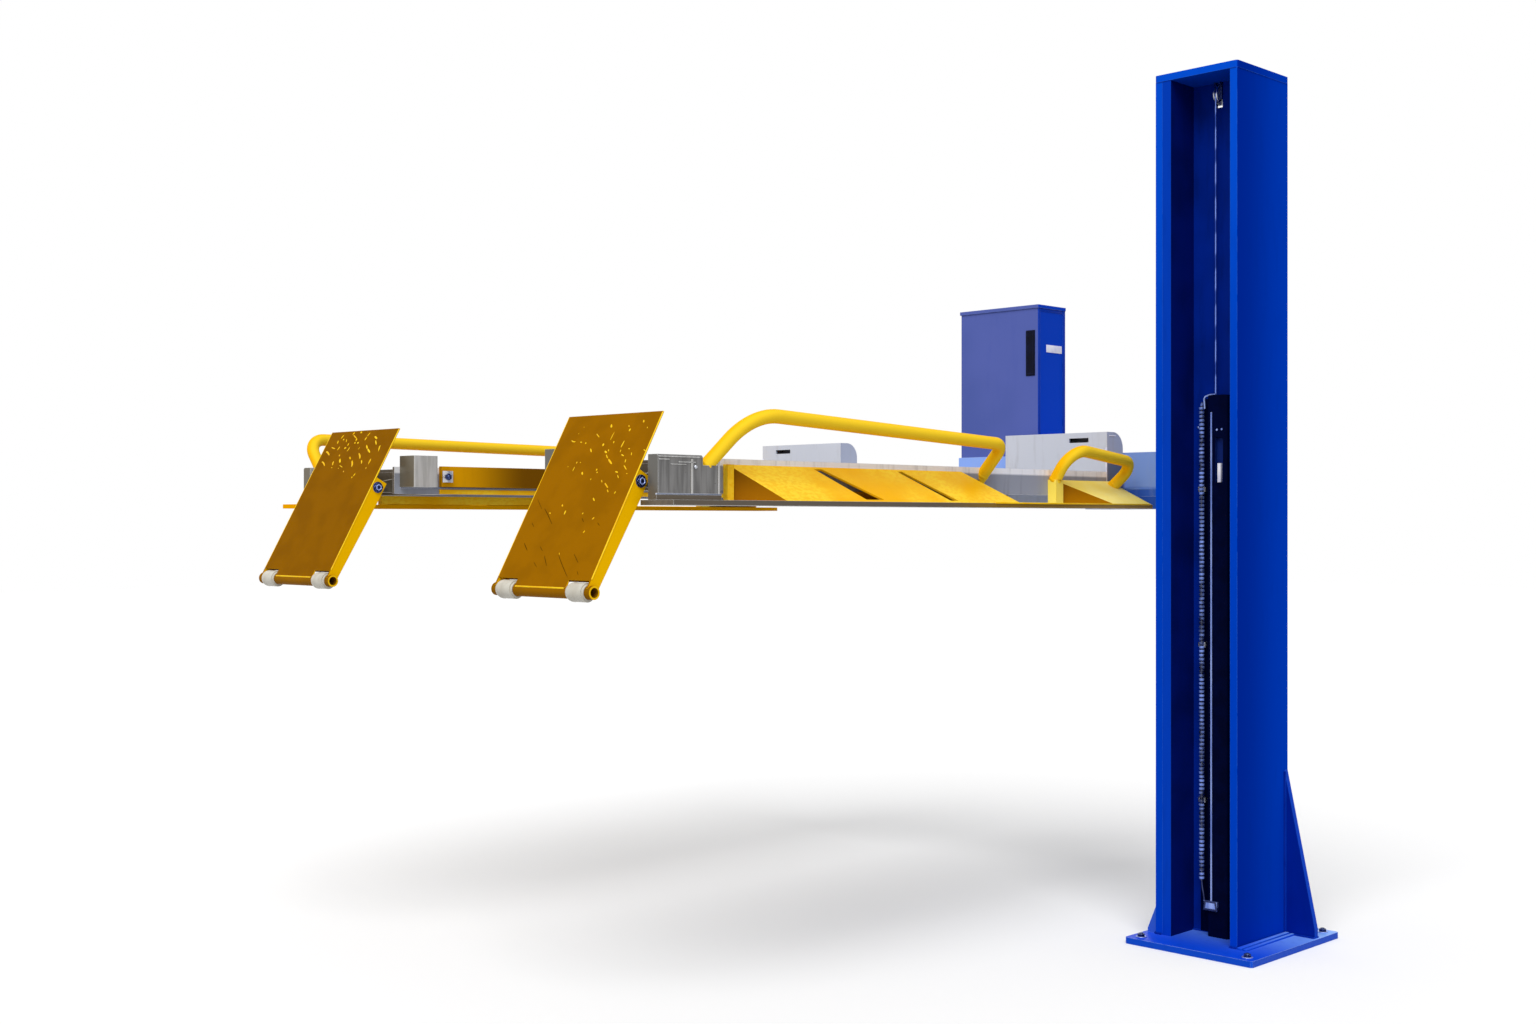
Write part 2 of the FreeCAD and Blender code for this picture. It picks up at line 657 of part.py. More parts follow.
def lift_arm():
    """Box arm with a deeper root against the carriage plate."""
    outline = [
        Vector(CARRIAGE_BACK_X, ARM_START_Y, CARRIAGE_BOTTOM),
        Vector(ARM_BACK_X, ARM_START_Y, CARRIAGE_BOTTOM),
        Vector(ARM_BACK_X, ARM_END_Y, CARRIAGE_BOTTOM),
        Vector(ARM_FRONT_X, ARM_END_Y, CARRIAGE_BOTTOM),
        Vector(ARM_FRONT_X, ARM_ROOT_Y, CARRIAGE_BOTTOM),
        Vector(CARRIAGE_BACK_X, ARM_ROOT_Y, CARRIAGE_BOTTOM),
    ]
    arm = prism(outline, Vector(0, 0, ARM_TOP - CARRIAGE_BOTTOM))
    for y in (RUNWAY_OUTER_Y + BEAM_SPACER_INSET, ARM_END_Y - BEAM_SPACER_LENGTH):
        arm = arm.fuse(beam_spacer(y))
    return arm


def arm_rib(y):
    """Upright triangular rib between the carriage plate and the arm's top."""
    outline = [
        Vector(CARRIAGE_BACK_X, y, ARM_TOP),
        Vector(CARRIAGE_BACK_X + RIB_REACH, y, ARM_TOP),
        Vector(CARRIAGE_BACK_X, y, ARM_TOP + RIB_HEIGHT),
    ]
    return prism(outline, Vector(0, RIB_THICKNESS, 0))


def rear_box(inset):
    """Box behind the near runway, with a rounded upper rear edge; its inside with the wall as inset."""
    x0 = RUNWAY_REAR_X + inset
    x1 = BEAM_REAR_X - inset
    z0 = BEAM_BOTTOM + inset
    z1 = REAR_BOX_TOP - inset
    y = RUNWAY_OUTER_Y + inset
    radius = REAR_BOX_ROUND - inset
    lean = radius * (1 - math.sqrt(0.5))
    arc = Part.Arc(
        Vector(x1 - radius, y, z1), Vector(x1 - lean, y, z1 - lean), Vector(x1, y, z1 - radius))
    corners = [
        Vector(x1, y, z1 - radius), Vector(x1, y, z0), Vector(x0, y, z0), Vector(x0, y, z1),
        Vector(x1 - radius, y, z1)]
    lines = [Part.makeLine(a, b) for a, b in zip(corners, corners[1:])]
    outline = Part.Wire(lines + [arc.toShape()])
    return Part.Face(outline).extrude(Vector(0, RUNWAY_WIDTH - 2 * inset, 0))


def cross_beam():
    """Hollow beam that joins the two rear boxes, each with a slot near its outer end."""
    def all_through(inset):
        run = box(
            RUNWAY_REAR_X + inset, BEAM_REAR_X - inset, RUNWAY_INNER_Y - inset, FAR_INNER_Y + inset,
            BEAM_BOTTOM + inset, BEAM_TOP - inset)
        ends = rear_box(inset)
        return run.fuse(ends).fuse(mirrored(ends))

    beam = all_through(0).removeSplitter().cut(all_through(BEAM_WALL))
    slot_y = RUNWAY_OUTER_Y + REAR_BOX_SLOT_INSET
    slot_z = REAR_BOX_TOP - REAR_BOX_SLOT_DROP
    slot = box(
        RUNWAY_REAR_X, RUNWAY_REAR_X + BEAM_WALL, slot_y, slot_y + REAR_BOX_SLOT_WIDTH,
        slot_z, slot_z + REAR_BOX_SLOT_HEIGHT)
    return beam.cut(slot).cut(mirrored(slot))


def build_carriage():
    places = guide_roller_places()
    save("carriage", carriage())
    save("guide_rollers", *[guide_roller(y, z) for y, z in places])
    save("guide_pins", *[guide_pin(y, z) for y, z in places])
    save("lift_arm", lift_arm())
    outer = POST_INNER_Y - CARRIAGE_PLATE_SIDE
    save("arm_ribs", arm_rib(ARM_START_Y), arm_rib(outer - RIB_THICKNESS))
    save("arm_shelf", box(
        ARM_FRONT_X, ARM_BACK_X, SHELF_START_Y, SHELF_END_Y, SHELF_BOTTOM, CARRIAGE_BOTTOM))
    save("cross_beam", cross_beam())


# Cabinet


def cabinet_body():
    """Upright cabinet on the arm, recessed for its door on the front."""
    body = box(
        ARM_FRONT_X, ARM_FRONT_X + CABINET_DEPTH, CABINET_START_Y,
        CABINET_START_Y + CABINET_WIDTH, ARM_TOP, CABINET_TOP)
    return body.makeFillet(CABINET_EDGE, edges_along(body, Vector(0, 0, 1)))


def build_cabinet():
    save("cabinet_body", cabinet_body())
    lid = box(
        ARM_FRONT_X - CABINET_LID_OVERHANG, ARM_FRONT_X + CABINET_DEPTH + CABINET_LID_OVERHANG,
        CABINET_START_Y - CABINET_LID_OVERHANG,
        CABINET_START_Y + CABINET_WIDTH + CABINET_LID_OVERHANG,
        CABINET_TOP, CABINET_TOP + CABINET_LID)
    save("cabinet_lid", lid.makeFillet(CABINET_EDGE, edges_along(lid, Vector(0, 0, 1))))
    save("cabinet_door", box(
        ARM_FRONT_X + CABINET_DEPTH, ARM_FRONT_X + CABINET_DEPTH + CABINET_DOOR,
        CABINET_START_Y + CABINET_DOOR_MARGIN,
        CABINET_START_Y + CABINET_WIDTH - CABINET_DOOR_MARGIN,
        ARM_TOP + CABINET_DOOR_MARGIN, CABINET_TOP - CABINET_DOOR_MARGIN))


# Runways


def runway_deck():
    """Folded channel, cut away between its cheeks where the ramp's upper end swings."""
    deck = box(
        CHEEK_FRONT_X, RUNWAY_REAR_X, RUNWAY_OUTER_Y, RUNWAY_INNER_Y,
        DECK_TOP - DECK_THICKNESS, DECK_TOP)
    deck = deck.fuse(box(
        CHEEK_FRONT_X, RUNWAY_REAR_X, RUNWAY_OUTER_Y, RUNWAY_OUTER_Y + CHEEK_THICKNESS,
        CHEEK_BOTTOM, DECK_TOP))
    deck = deck.fuse(box(
        CHEEK_FRONT_X, RUNWAY_REAR_X, RUNWAY_INNER_Y - CHEEK_THICKNESS, RUNWAY_INNER_Y,
        CHEEK_BOTTOM, DECK_TOP))
    pocket = box(
        CHEEK_FRONT_X, RUNWAY_FRONT_X, RUNWAY_OUTER_Y + CHEEK_THICKNESS,
        RUNWAY_INNER_Y - CHEEK_THICKNESS, CHEEK_BOTTOM, DECK_TOP)
    return deck.cut(pocket).removeSplitter()


def lug_places():
    """First Y of each of the two ramp lugs."""
    inset = RAMP_FLANGE + LUG_FLANGE_GAP
    return (RAMP_START_Y + inset, RAMP_END_Y - inset - LUG_THICKNESS)


def pivot_sill():
    """Sill under the deck's front end with the two lugs that carry the ramp."""
    sill_top = DECK_TOP - DECK_THICKNESS
    sill = box(
        RUNWAY_FRONT_X, RUNWAY_FRONT_X + SILL_DEPTH, RUNWAY_OUTER_Y + CHEEK_THICKNESS,
        RUNWAY_INNER_Y - CHEEK_THICKNESS, CHEEK_BOTTOM, sill_top)
    reach = RUNWAY_FRONT_X - PIVOT_X
    rise = reach * math.tan(math.radians(RAMP_LOW_TILT))
    for y in lug_places():
        outline = [
            Vector(PIVOT_X, y, PIVOT_Z - LUG_RADIUS),
            Vector(RUNWAY_FRONT_X, y, CHEEK_BOTTOM),
            Vector(RUNWAY_FRONT_X, y, PIVOT_Z + LUG_RADIUS + rise),
            Vector(PIVOT_X, y, PIVOT_Z + LUG_RADIUS),
        ]
        lug = prism(outline, Vector(0, LUG_THICKNESS, 0))
        lug = lug.fuse(rod(Vector(PIVOT_X, y, PIVOT_Z), Vector(0, 1, 0), LUG_RADIUS, LUG_THICKNESS))
        lug = lug.cut(rod(
            Vector(PIVOT_X, y, PIVOT_Z), Vector(0, 1, 0), PIVOT_BOLT / 2 + PIVOT_HOLE_GAP,
            LUG_THICKNESS))
        sill = sill.fuse(lug)
    return sill.removeSplitter()


def outer_block():
    """Block on the ledge at the runway's front outer corner, stepped down behind for the guard."""
    rear_x = OUTER_BLOCK_FRONT_X + OUTER_BLOCK_LENGTH
    block = box(
        OUTER_BLOCK_FRONT_X, rear_x, RUNWAY_OUTER_Y - OUTER_BLOCK_WIDTH, RUNWAY_OUTER_Y, LEDGE_TOP,
        OUTER_BLOCK_TOP)
    block = block.cut(box(
        rear_x - BLOCK_STEP_LENGTH, rear_x, RUNWAY_OUTER_Y - OUTER_BLOCK_WIDTH, RUNWAY_OUTER_Y,
        BLOCK_STEP_TOP, OUTER_BLOCK_TOP))
    edges = edges_along(block, Vector(1, 0, 0), y=RUNWAY_OUTER_Y - OUTER_BLOCK_WIDTH, z=OUTER_BLOCK_TOP)
    return block.makeChamfer(BLOCK_EDGE, edges)


def inner_block():
    """Block on the inner cheek beside the ramp's pocket."""
    block = box(
        INNER_BLOCK_FRONT_X, INNER_BLOCK_FRONT_X + INNER_BLOCK_LENGTH, RUNWAY_INNER_Y,
        RUNWAY_INNER_Y + INNER_BLOCK_WIDTH, INNER_BLOCK_BOTTOM, INNER_BLOCK_TOP)
    upright = edges_along(block, Vector(0, 0, 1), y=RUNWAY_INNER_Y + INNER_BLOCK_WIDTH)
    return block.makeFillet(BLOCK_EDGE, upright)


def side_bar():
    """Bar along the inner cheek with a square-washered bolt at its front."""
    outer_y = RUNWAY_INNER_Y + SIDE_BAR_THICKNESS
    bar = box(
        SIDE_BAR_FRONT_X, RUNWAY_REAR_X, RUNWAY_INNER_Y, outer_y, SIDE_BAR_BOTTOM, SIDE_BAR_TOP)
    middle = (SIDE_BAR_BOTTOM + SIDE_BAR_TOP) / 2
    half = SQUARE_WASHER / 2
    bar = bar.fuse(box(
        SIDE_BAR_BOLT_X - half, SIDE_BAR_BOLT_X + half, outer_y, outer_y + SQUARE_WASHER_THICKNESS,
        middle - half, middle + half))
    seat = Vector(SIDE_BAR_BOLT_X, outer_y + SQUARE_WASHER_THICKNESS, middle)
    return bar.fuse(hexagon(seat, Vector(0, 1, 0), SIDE_BAR_BOLT, SIDE_BAR_BOLT_HEIGHT))


def on_slope(x, share, top):
    """Point on a wedge's upper face, from its top edge (0) to its foot (1)."""
    return Vector(x, RUNWAY_OUTER_Y - share * LEDGE_WIDTH, top - share * (top - LEDGE_TOP))


def wedge(top, top_front, low_front, top_rear, low_rear, slots):
    """Sloping skirt plate with an upright closing plate under its front edge."""
    slope = math.hypot(LEDGE_WIDTH, top - LEDGE_TOP)
    inward = Vector(0, (top - LEDGE_TOP) / slope, -LEDGE_WIDTH / slope)
    body = prism([
        on_slope(top_front, 0, top), on_slope(low_front, 1, top), on_slope(low_rear, 1, top),
        on_slope(top_rear, 0, top)], inward * WEDGE_PLATE)
    run = low_front - top_front
    closing = prism([
        on_slope(top_front, 0, top), on_slope(low_front, 1, top),
        Vector(top_front, RUNWAY_OUTER_Y, LEDGE_TOP)], Vector(WEDGE_END_PLATE, 0, 0))
    body = body.fuse(closing)
    for top_x, low_x, top_width, low_width in slots:
        first = WEDGE_SLOT_MARGIN
        last = 1 - WEDGE_SLOT_MARGIN
        lean = low_x - top_x
        body = body.cut(prism([
            on_slope(top_x + first * lean, first, top), on_slope(top_x + last * lean, last, top),
            on_slope(top_x + last * lean + low_width, last, top),
            on_slope(top_x + first * lean + top_width, first, top)],
            inward * WEDGE_PLATE))
    inside = box(top_front - run, low_rear + run, LEDGE_EDGE_Y, RUNWAY_OUTER_Y, LEDGE_TOP, top)
    return body.common(inside)


def end_post(top_front, size, top):
    """Upright post at a wedge's front, which runs on behind the closing plate."""
    return box(
        top_front - size, top_front + WEDGE_END_PLATE, RUNWAY_OUTER_Y - size, RUNWAY_OUTER_Y,
        LEDGE_TOP, top)


def long_wedge():
    """Long skirt with two slots and a slim upright post at its front."""
    body = wedge(
        WEDGE_TOP, LONG_WEDGE_TOP_FRONT_X, LONG_WEDGE_LOW_FRONT_X, LONG_WEDGE_TOP_REAR_X,
        LONG_WEDGE_LOW_REAR_X, LONG_WEDGE_SLOTS)
    return body.fuse(end_post(LONG_WEDGE_TOP_FRONT_X, LONG_END_POST, WEDGE_TOP))


def short_wedge():
    """Short skirt with an upright post at its front, which carries the guard."""
    body = wedge(
        SHORT_WEDGE_TOP, SHORT_WEDGE_TOP_FRONT_X, SHORT_WEDGE_LOW_FRONT_X,
        SHORT_WEDGE_TOP_REAR_X, SHORT_WEDGE_LOW_REAR_X, ())
    return body.fuse(end_post(SHORT_WEDGE_TOP_FRONT_X, SHORT_END_POST, SHORT_WEDGE_TOP))


def guard(foot, crest, rear, rear_foot, sweep, under):
    """Bent tube that stands on its front foot and is cut off where its rear end lands."""
    start = foot + (foot - crest).normalize() * TUBE_DIAMETER
    end = rear_foot + (rear_foot - rear).normalize() * TUBE_DIAMETER
    tube = swept_tube([start, crest, rear, end], [sweep, GUARD_BEND], TUBE_DIAMETER, TUBE_WALL)
    trim = GUARD_TRIM
    seat = box(foot.x - trim, foot.x + trim, foot.y - trim, foot.y + trim, foot.z - trim, foot.z)
    return tube.cut(seat).cut(under)


def runway_side():
    """The space taken by the runway, from its outer side inwards."""
    return box(
        CHEEK_FRONT_X, RUNWAY_REAR_X, RUNWAY_OUTER_Y, RUNWAY_OUTER_Y + GUARD_TRIM,
        LEDGE_BOTTOM, LONG_GUARD_CREST_Z)


def long_guard(foot_x, foot_z, crest_x, crest_z, rear_z, sweep):
    """Guard tube from the front block to the runway's cheek."""
    return guard(
        Vector(foot_x, RUNWAY_OUTER_Y - OUTER_BLOCK_WIDTH / 2, foot_z),
        Vector(crest_x, GUARD_RAIL_Y, crest_z),
        Vector(LONG_GUARD_REAR_X, GUARD_RAIL_Y, rear_z),
        Vector(LONG_GUARD_REAR_FOOT_X, RUNWAY_OUTER_Y, LONG_GUARD_REAR_FOOT_Z),
        sweep, runway_side())


def short_guard():
    """Guard tube from the short wedge's post to the wedge's slope."""
    foot_x = SHORT_WEDGE_TOP_FRONT_X - SHORT_GUARD_FOOT_INSET
    low = LEDGE_TOP - GUARD_TRIM
    inner_y = RUNWAY_OUTER_Y + GUARD_TRIM
    first = foot_x - GUARD_TRIM
    slope_and_side = prism([
        on_slope(first, 0, SHORT_WEDGE_TOP), on_slope(first, 1, SHORT_WEDGE_TOP),
        Vector(first, LEDGE_EDGE_Y, low), Vector(first, inner_y, low),
        Vector(first, inner_y, SHORT_GUARD_CREST_Z),
        Vector(first, RUNWAY_OUTER_Y, SHORT_GUARD_CREST_Z)],
        Vector(LEDGE_REAR_X - first, 0, 0))
    return guard(
        Vector(foot_x, RUNWAY_OUTER_Y - SHORT_END_POST / 2, SHORT_WEDGE_TOP),
        Vector(SHORT_GUARD_CREST_X, GUARD_RAIL_Y, SHORT_GUARD_CREST_Z),
        Vector(SHORT_GUARD_REAR_X, GUARD_RAIL_Y, SHORT_GUARD_REAR_Z),
        on_slope(SHORT_GUARD_REAR_FOOT_X, SHORT_GUARD_REAR_FOOT_SHARE, SHORT_WEDGE_TOP),
        SHORT_GUARD_SWEEP, slope_and_side)


def build_runways():
    ledge = box(
        LEDGE_FRONT_X, LEDGE_REAR_X, LEDGE_EDGE_Y, RUNWAY_OUTER_Y, LEDGE_BOTTOM, LEDGE_TOP)
    pieces = {
        "runway_deck": runway_deck(),
        "runway_ledge": ledge,
        "pivot_sill": pivot_sill(),
        "front_blocks": Part.makeCompound([outer_block(), inner_block()]),
        "side_bar": side_bar(),
        "long_wedge": long_wedge(),
        "short_wedge": short_wedge(),
        "short_guard": short_guard(),
    }
    for name, shape in pieces.items():
        save("near_" + name, shape)
        save("far_" + name, mirrored(shape))
    near = long_guard(
        LONG_GUARD_FOOT_X, BLOCK_STEP_TOP, LONG_GUARD_CREST_X, LONG_GUARD_CREST_Z,
        LONG_GUARD_REAR_Z, LONG_GUARD_SWEEP)
    far = long_guard(
        FAR_GUARD_FOOT_X, OUTER_BLOCK_TOP, FAR_GUARD_CREST_X, FAR_GUARD_CREST_Z,
        FAR_GUARD_REAR_Z, FAR_GUARD_SWEEP)
    save("near_long_guard", near)
    save("far_long_guard", mirrored(far))


# Ramps


def ramp_point(along, behind, y):
    """Point of a ramp, along its face from the pivot and behind its face."""
    tilt = math.radians(RAMP_TILT)
    out = PIVOT_TO_FACE - behind
    x = PIVOT_X + along * math.cos(tilt) - out * math.sin(tilt)
    z = PIVOT_Z + along * math.sin(tilt) + out * math.cos(tilt)
    return Vector(x, y, z)


def ramp_slab(outline, y0, y1):
    """Outline of (along, behind) points pushed from y0 to y1."""
    return prism([ramp_point(along, behind, y0) for along, behind in outline], Vector(0, y1 - y0, 0))


def ramp_plate():
    """Plate with side flanges, an ear at the pivot and cut-outs for the rollers."""
    plate = ramp_slab(
        [(-RAMP_LOWER, 0), (RAMP_UPPER, 0), (RAMP_UPPER, RAMP_PLATE), (-RAMP_LOWER, RAMP_PLATE)],
        RAMP_START_Y, RAMP_END_Y)
    flange = [
        (-RAMP_LOWER, 0), (FLANGE_EAR, 0), (FLANGE_EAR, FLANGE_DEPTH_PIVOT),
        (-FLANGE_EAR, FLANGE_DEPTH_PIVOT), (-RAMP_LOWER, FLANGE_DEPTH_FOOT)]
    for y in (RAMP_START_Y, RAMP_END_Y - RAMP_FLANGE):
        plate = plate.fuse(ramp_slab(flange, y, y + RAMP_FLANGE))
        plate = plate.cut(rod(
            Vector(PIVOT_X, y, PIVOT_Z), Vector(0, 1, 0), PIVOT_BOLT / 2, RAMP_FLANGE))
    swing = ROLLER_DIAMETER / 2 + ROLLER_NOTCH_GAP
    behind = CROSS_TUBE / 2 - RAMP_PLATE
    reach = math.sqrt(swing ** 2 - behind ** 2)
    for y in roller_places():
        notch = [(-RAMP_LOWER - reach, 0), (reach - RAMP_LOWER, 0), (reach - RAMP_LOWER, RAMP_PLATE),
                 (-RAMP_LOWER - reach, RAMP_PLATE)]
        first = y - ROLLER_SIDE_GAP
        last = y + ROLLER_LENGTH + ROLLER_SIDE_GAP
        plate = plate.cut(ramp_slab(notch, first, last))
    axis = cross_tube_axis(RAMP_START_Y)
    plate = plate.cut(rod(axis, Vector(0, 1, 0), CROSS_TUBE / 2, RAMP_END_Y - RAMP_START_Y))
    return plate.removeSplitter()


def cross_tube_axis(y):
    """Middle of the cross tube, whose top is level with the plate's face."""
    return ramp_point(-RAMP_LOWER, CROSS_TUBE / 2, y)


def roller_places():
    """First Y of the outer and the inner roller, beside the flanges."""
    inset = RAMP_FLANGE + ROLLER_SIDE_GAP
    return (RAMP_START_Y + inset, RAMP_END_Y - inset - ROLLER_LENGTH)


def cross_tube():
    """Open-ended tube along the ramp's foot."""
    start = cross_tube_axis(RAMP_START_Y - CROSS_TUBE_OVERRUN)
    length = RAMP_END_Y - RAMP_START_Y + 2 * CROSS_TUBE_OVERRUN
    tube = rod(start, Vector(0, 1, 0), CROSS_TUBE / 2, length)
    return tube.cut(rod(start, Vector(0, 1, 0), CROSS_TUBE / 2 - CROSS_TUBE_WALL, length))


def ramp_roller(y):
    """Roller loose on the cross tube, with a hub at its -Y end and a domed +Y end."""
    middle = cross_tube_axis(y)
    bore = CROSS_TUBE / 2 + RUNNING_GAP
    outside = ROLLER_DIAMETER / 2
    dome_start = ROLLER_LENGTH - ROLLER_DOME

    def at(radius, along):
        return middle + Vector(radius, along, 0)

    arc = Part.Arc(
        at(outside, dome_start),
        at(outside - ROLLER_DOME_STEP * (1 - math.sqrt(0.5)), dome_start + ROLLER_DOME * math.sqrt(0.5)),
        at(outside - ROLLER_DOME_STEP, ROLLER_LENGTH))
    corners = [
        at(outside - ROLLER_DOME_STEP, ROLLER_LENGTH), at(bore, ROLLER_LENGTH), at(bore, 0),
        at(outside - ROLLER_HUB_STEP, 0), at(outside - ROLLER_HUB_STEP, ROLLER_HUB),
        at(outside, ROLLER_HUB), at(outside, dome_start)]
    lines = [Part.makeLine(a, b) for a, b in zip(corners, corners[1:])]
    outline = Part.Wire(lines + [arc.toShape()])
    return Part.Face(outline).revolve(middle, Vector(0, 1, 0), 360)


def pivot_bolt(flange_y, outward):
    """Bolt with its head outside the flange and its nut inside the lug."""
    axis = Vector(0, outward, 0)
    face = Vector(PIVOT_X, flange_y, PIVOT_Z)
    grip = RAMP_FLANGE + LUG_FLANGE_GAP + LUG_THICKNESS + PIVOT_NUT_GAP
    bolt = rod(face, axis * -1, PIVOT_BOLT / 2, grip + PIVOT_NUT_HEIGHT + PIVOT_BOLT_END)
    head = hexagon(face, axis, PIVOT_BOLT_HEAD, PIVOT_BOLT_HEAD_HEIGHT)
    nut = hexagon(face - axis * grip, axis * -1, PIVOT_NUT, PIVOT_NUT_HEIGHT)
    return bolt.fuse(head).fuse(nut)


def build_ramps():
    outer, inner = roller_places()
    bolts = (pivot_bolt(RAMP_START_Y, -1), pivot_bolt(RAMP_END_Y, 1))
    save("near_ramp_plate", ramp_plate())
    save("far_ramp_plate", mirrored(ramp_plate()))
    save("near_ramp_bolts", *bolts)
    save("far_ramp_bolts", *[mirrored(bolt) for bolt in bolts])
    save("near_ramp_tube", cross_tube())
    save("far_ramp_tube", mirrored(cross_tube()))
    for side, y in (("outer", outer), ("inner", inner)):
        save("near_" + side + "_roller", ramp_roller(y))
        save("far_" + side + "_roller", ramp_roller(2 * PLATFORM_MIDDLE_Y - y - ROLLER_LENGTH))


build_post()
build_service_channel()
build_carriage()
build_cabinet()
build_runways()
build_ramps()
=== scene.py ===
"""Looks of a single-post car lift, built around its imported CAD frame."""

import logging
import math
from contextlib import contextmanager
from dataclasses import dataclass
from enum import Enum
from typing import Iterable, Iterator, Optional, Sequence, Union

import bmesh
import bpy
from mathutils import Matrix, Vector


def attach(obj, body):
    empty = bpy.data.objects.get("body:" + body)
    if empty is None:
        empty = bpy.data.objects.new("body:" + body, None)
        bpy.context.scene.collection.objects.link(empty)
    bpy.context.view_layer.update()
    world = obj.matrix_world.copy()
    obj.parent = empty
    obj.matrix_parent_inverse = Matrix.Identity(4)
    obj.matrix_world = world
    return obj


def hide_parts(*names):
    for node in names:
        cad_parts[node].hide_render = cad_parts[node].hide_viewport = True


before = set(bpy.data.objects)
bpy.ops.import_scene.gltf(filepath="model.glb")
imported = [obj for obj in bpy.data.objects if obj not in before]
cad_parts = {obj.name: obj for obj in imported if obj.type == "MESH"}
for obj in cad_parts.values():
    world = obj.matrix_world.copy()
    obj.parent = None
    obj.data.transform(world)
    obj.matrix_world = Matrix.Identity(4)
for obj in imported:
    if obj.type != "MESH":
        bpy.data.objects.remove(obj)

LOG = logging.getLogger("lift")
MM = 0.001
CAMERA_PLACE = (-5.041, -2.978, 1.347)
PLATFORM_MIDDLE_Y = 1380.0

X_AXIS = Vector((1, 0, 0))
Y_AXIS = Vector((0, 1, 0))
Z_AXIS = Vector((0, 0, 1))

Point = tuple[float, float, float]
Box = tuple[Point, Point]
Profile = Sequence[tuple[float, float]]
Rod = tuple[float, Sequence[Point]]
Colour = tuple[float, float, float, float]
Socket = bpy.types.NodeSocket
Value = Union[Socket, float, str, tuple, Vector]


class Side(Enum):
    """The two runways of the platform."""

    NEAR = "near"
    FAR = "far"

    def y(self, near_y: float) -> float:
        """Moves a near-side Y, in millimetres, to this side."""
        return near_y if self is Side.NEAR else 2 * PLATFORM_MIDDLE_Y - near_y

    def out(self) -> float:
        """Gives the sign of Y that points away from the platform's middle."""
        return -1.0 if self is Side.NEAR else 1.0


class Body(Enum):
    """The bodies that the pieces ride on."""

    POST = "post"
    PLATFORM = "platform"
    NEAR_RAMP = "near_ramp"
    FAR_RAMP = "far_ramp"


class Slot(Enum):
    """The record's material slots."""

    BLUE = "blue_paint"
    GREY = "grey_paint"
    YELLOW = "yellow_paint"
    WORN_YELLOW = "worn_yellow_paint"
    STEEL = "bare_steel"
    BLACK = "black_plastic"
    WHITE = "white_plastic"


def linear(code: str) -> Colour:
    """Turns an sRGB hex colour to linear values.

    Args:
        code: the colour as #rrggbb.

    Returns:
        The linear red, green, blue and alpha.
    """
    parts = [int(code[i:i + 2], 16) / 255 for i in (1, 3, 5)]
    out = [p / 12.92 if p <= 0.04045 else ((p + 0.055) / 1.055) ** 2.4 for p in parts]
    return (out[0], out[1], out[2], 1.0)


def per_metre(size_mm: float) -> float:
    """Gives the texture scale that makes one pattern feature this many millimetres."""
    return 1000.0 / size_mm


def add_node(
    tree: bpy.types.NodeTree,
    kind: str,
    links: Optional[dict[Union[int, str], Value]] = None,
    **settings: object,
) -> bpy.types.Node:
    """Adds a node with its settings and links.

    Args:
        tree: the tree that gets the node.
        kind: the node's type name.
        links: for each input, by name or number, a socket to link or a value to set.
        settings: the node's own properties.

    Returns:
        The new node.
    """
    node = tree.nodes.new(kind)
    for name, setting in settings.items():
        setattr(node, name, setting)
    for key, value in (links or {}).items():
        if isinstance(value, bpy.types.NodeSocket):
            tree.links.new(value, node.inputs[key])
        elif isinstance(value, str):
            node.inputs[key].default_value = linear(value)
        else:
            node.inputs[key].default_value = value
    return node


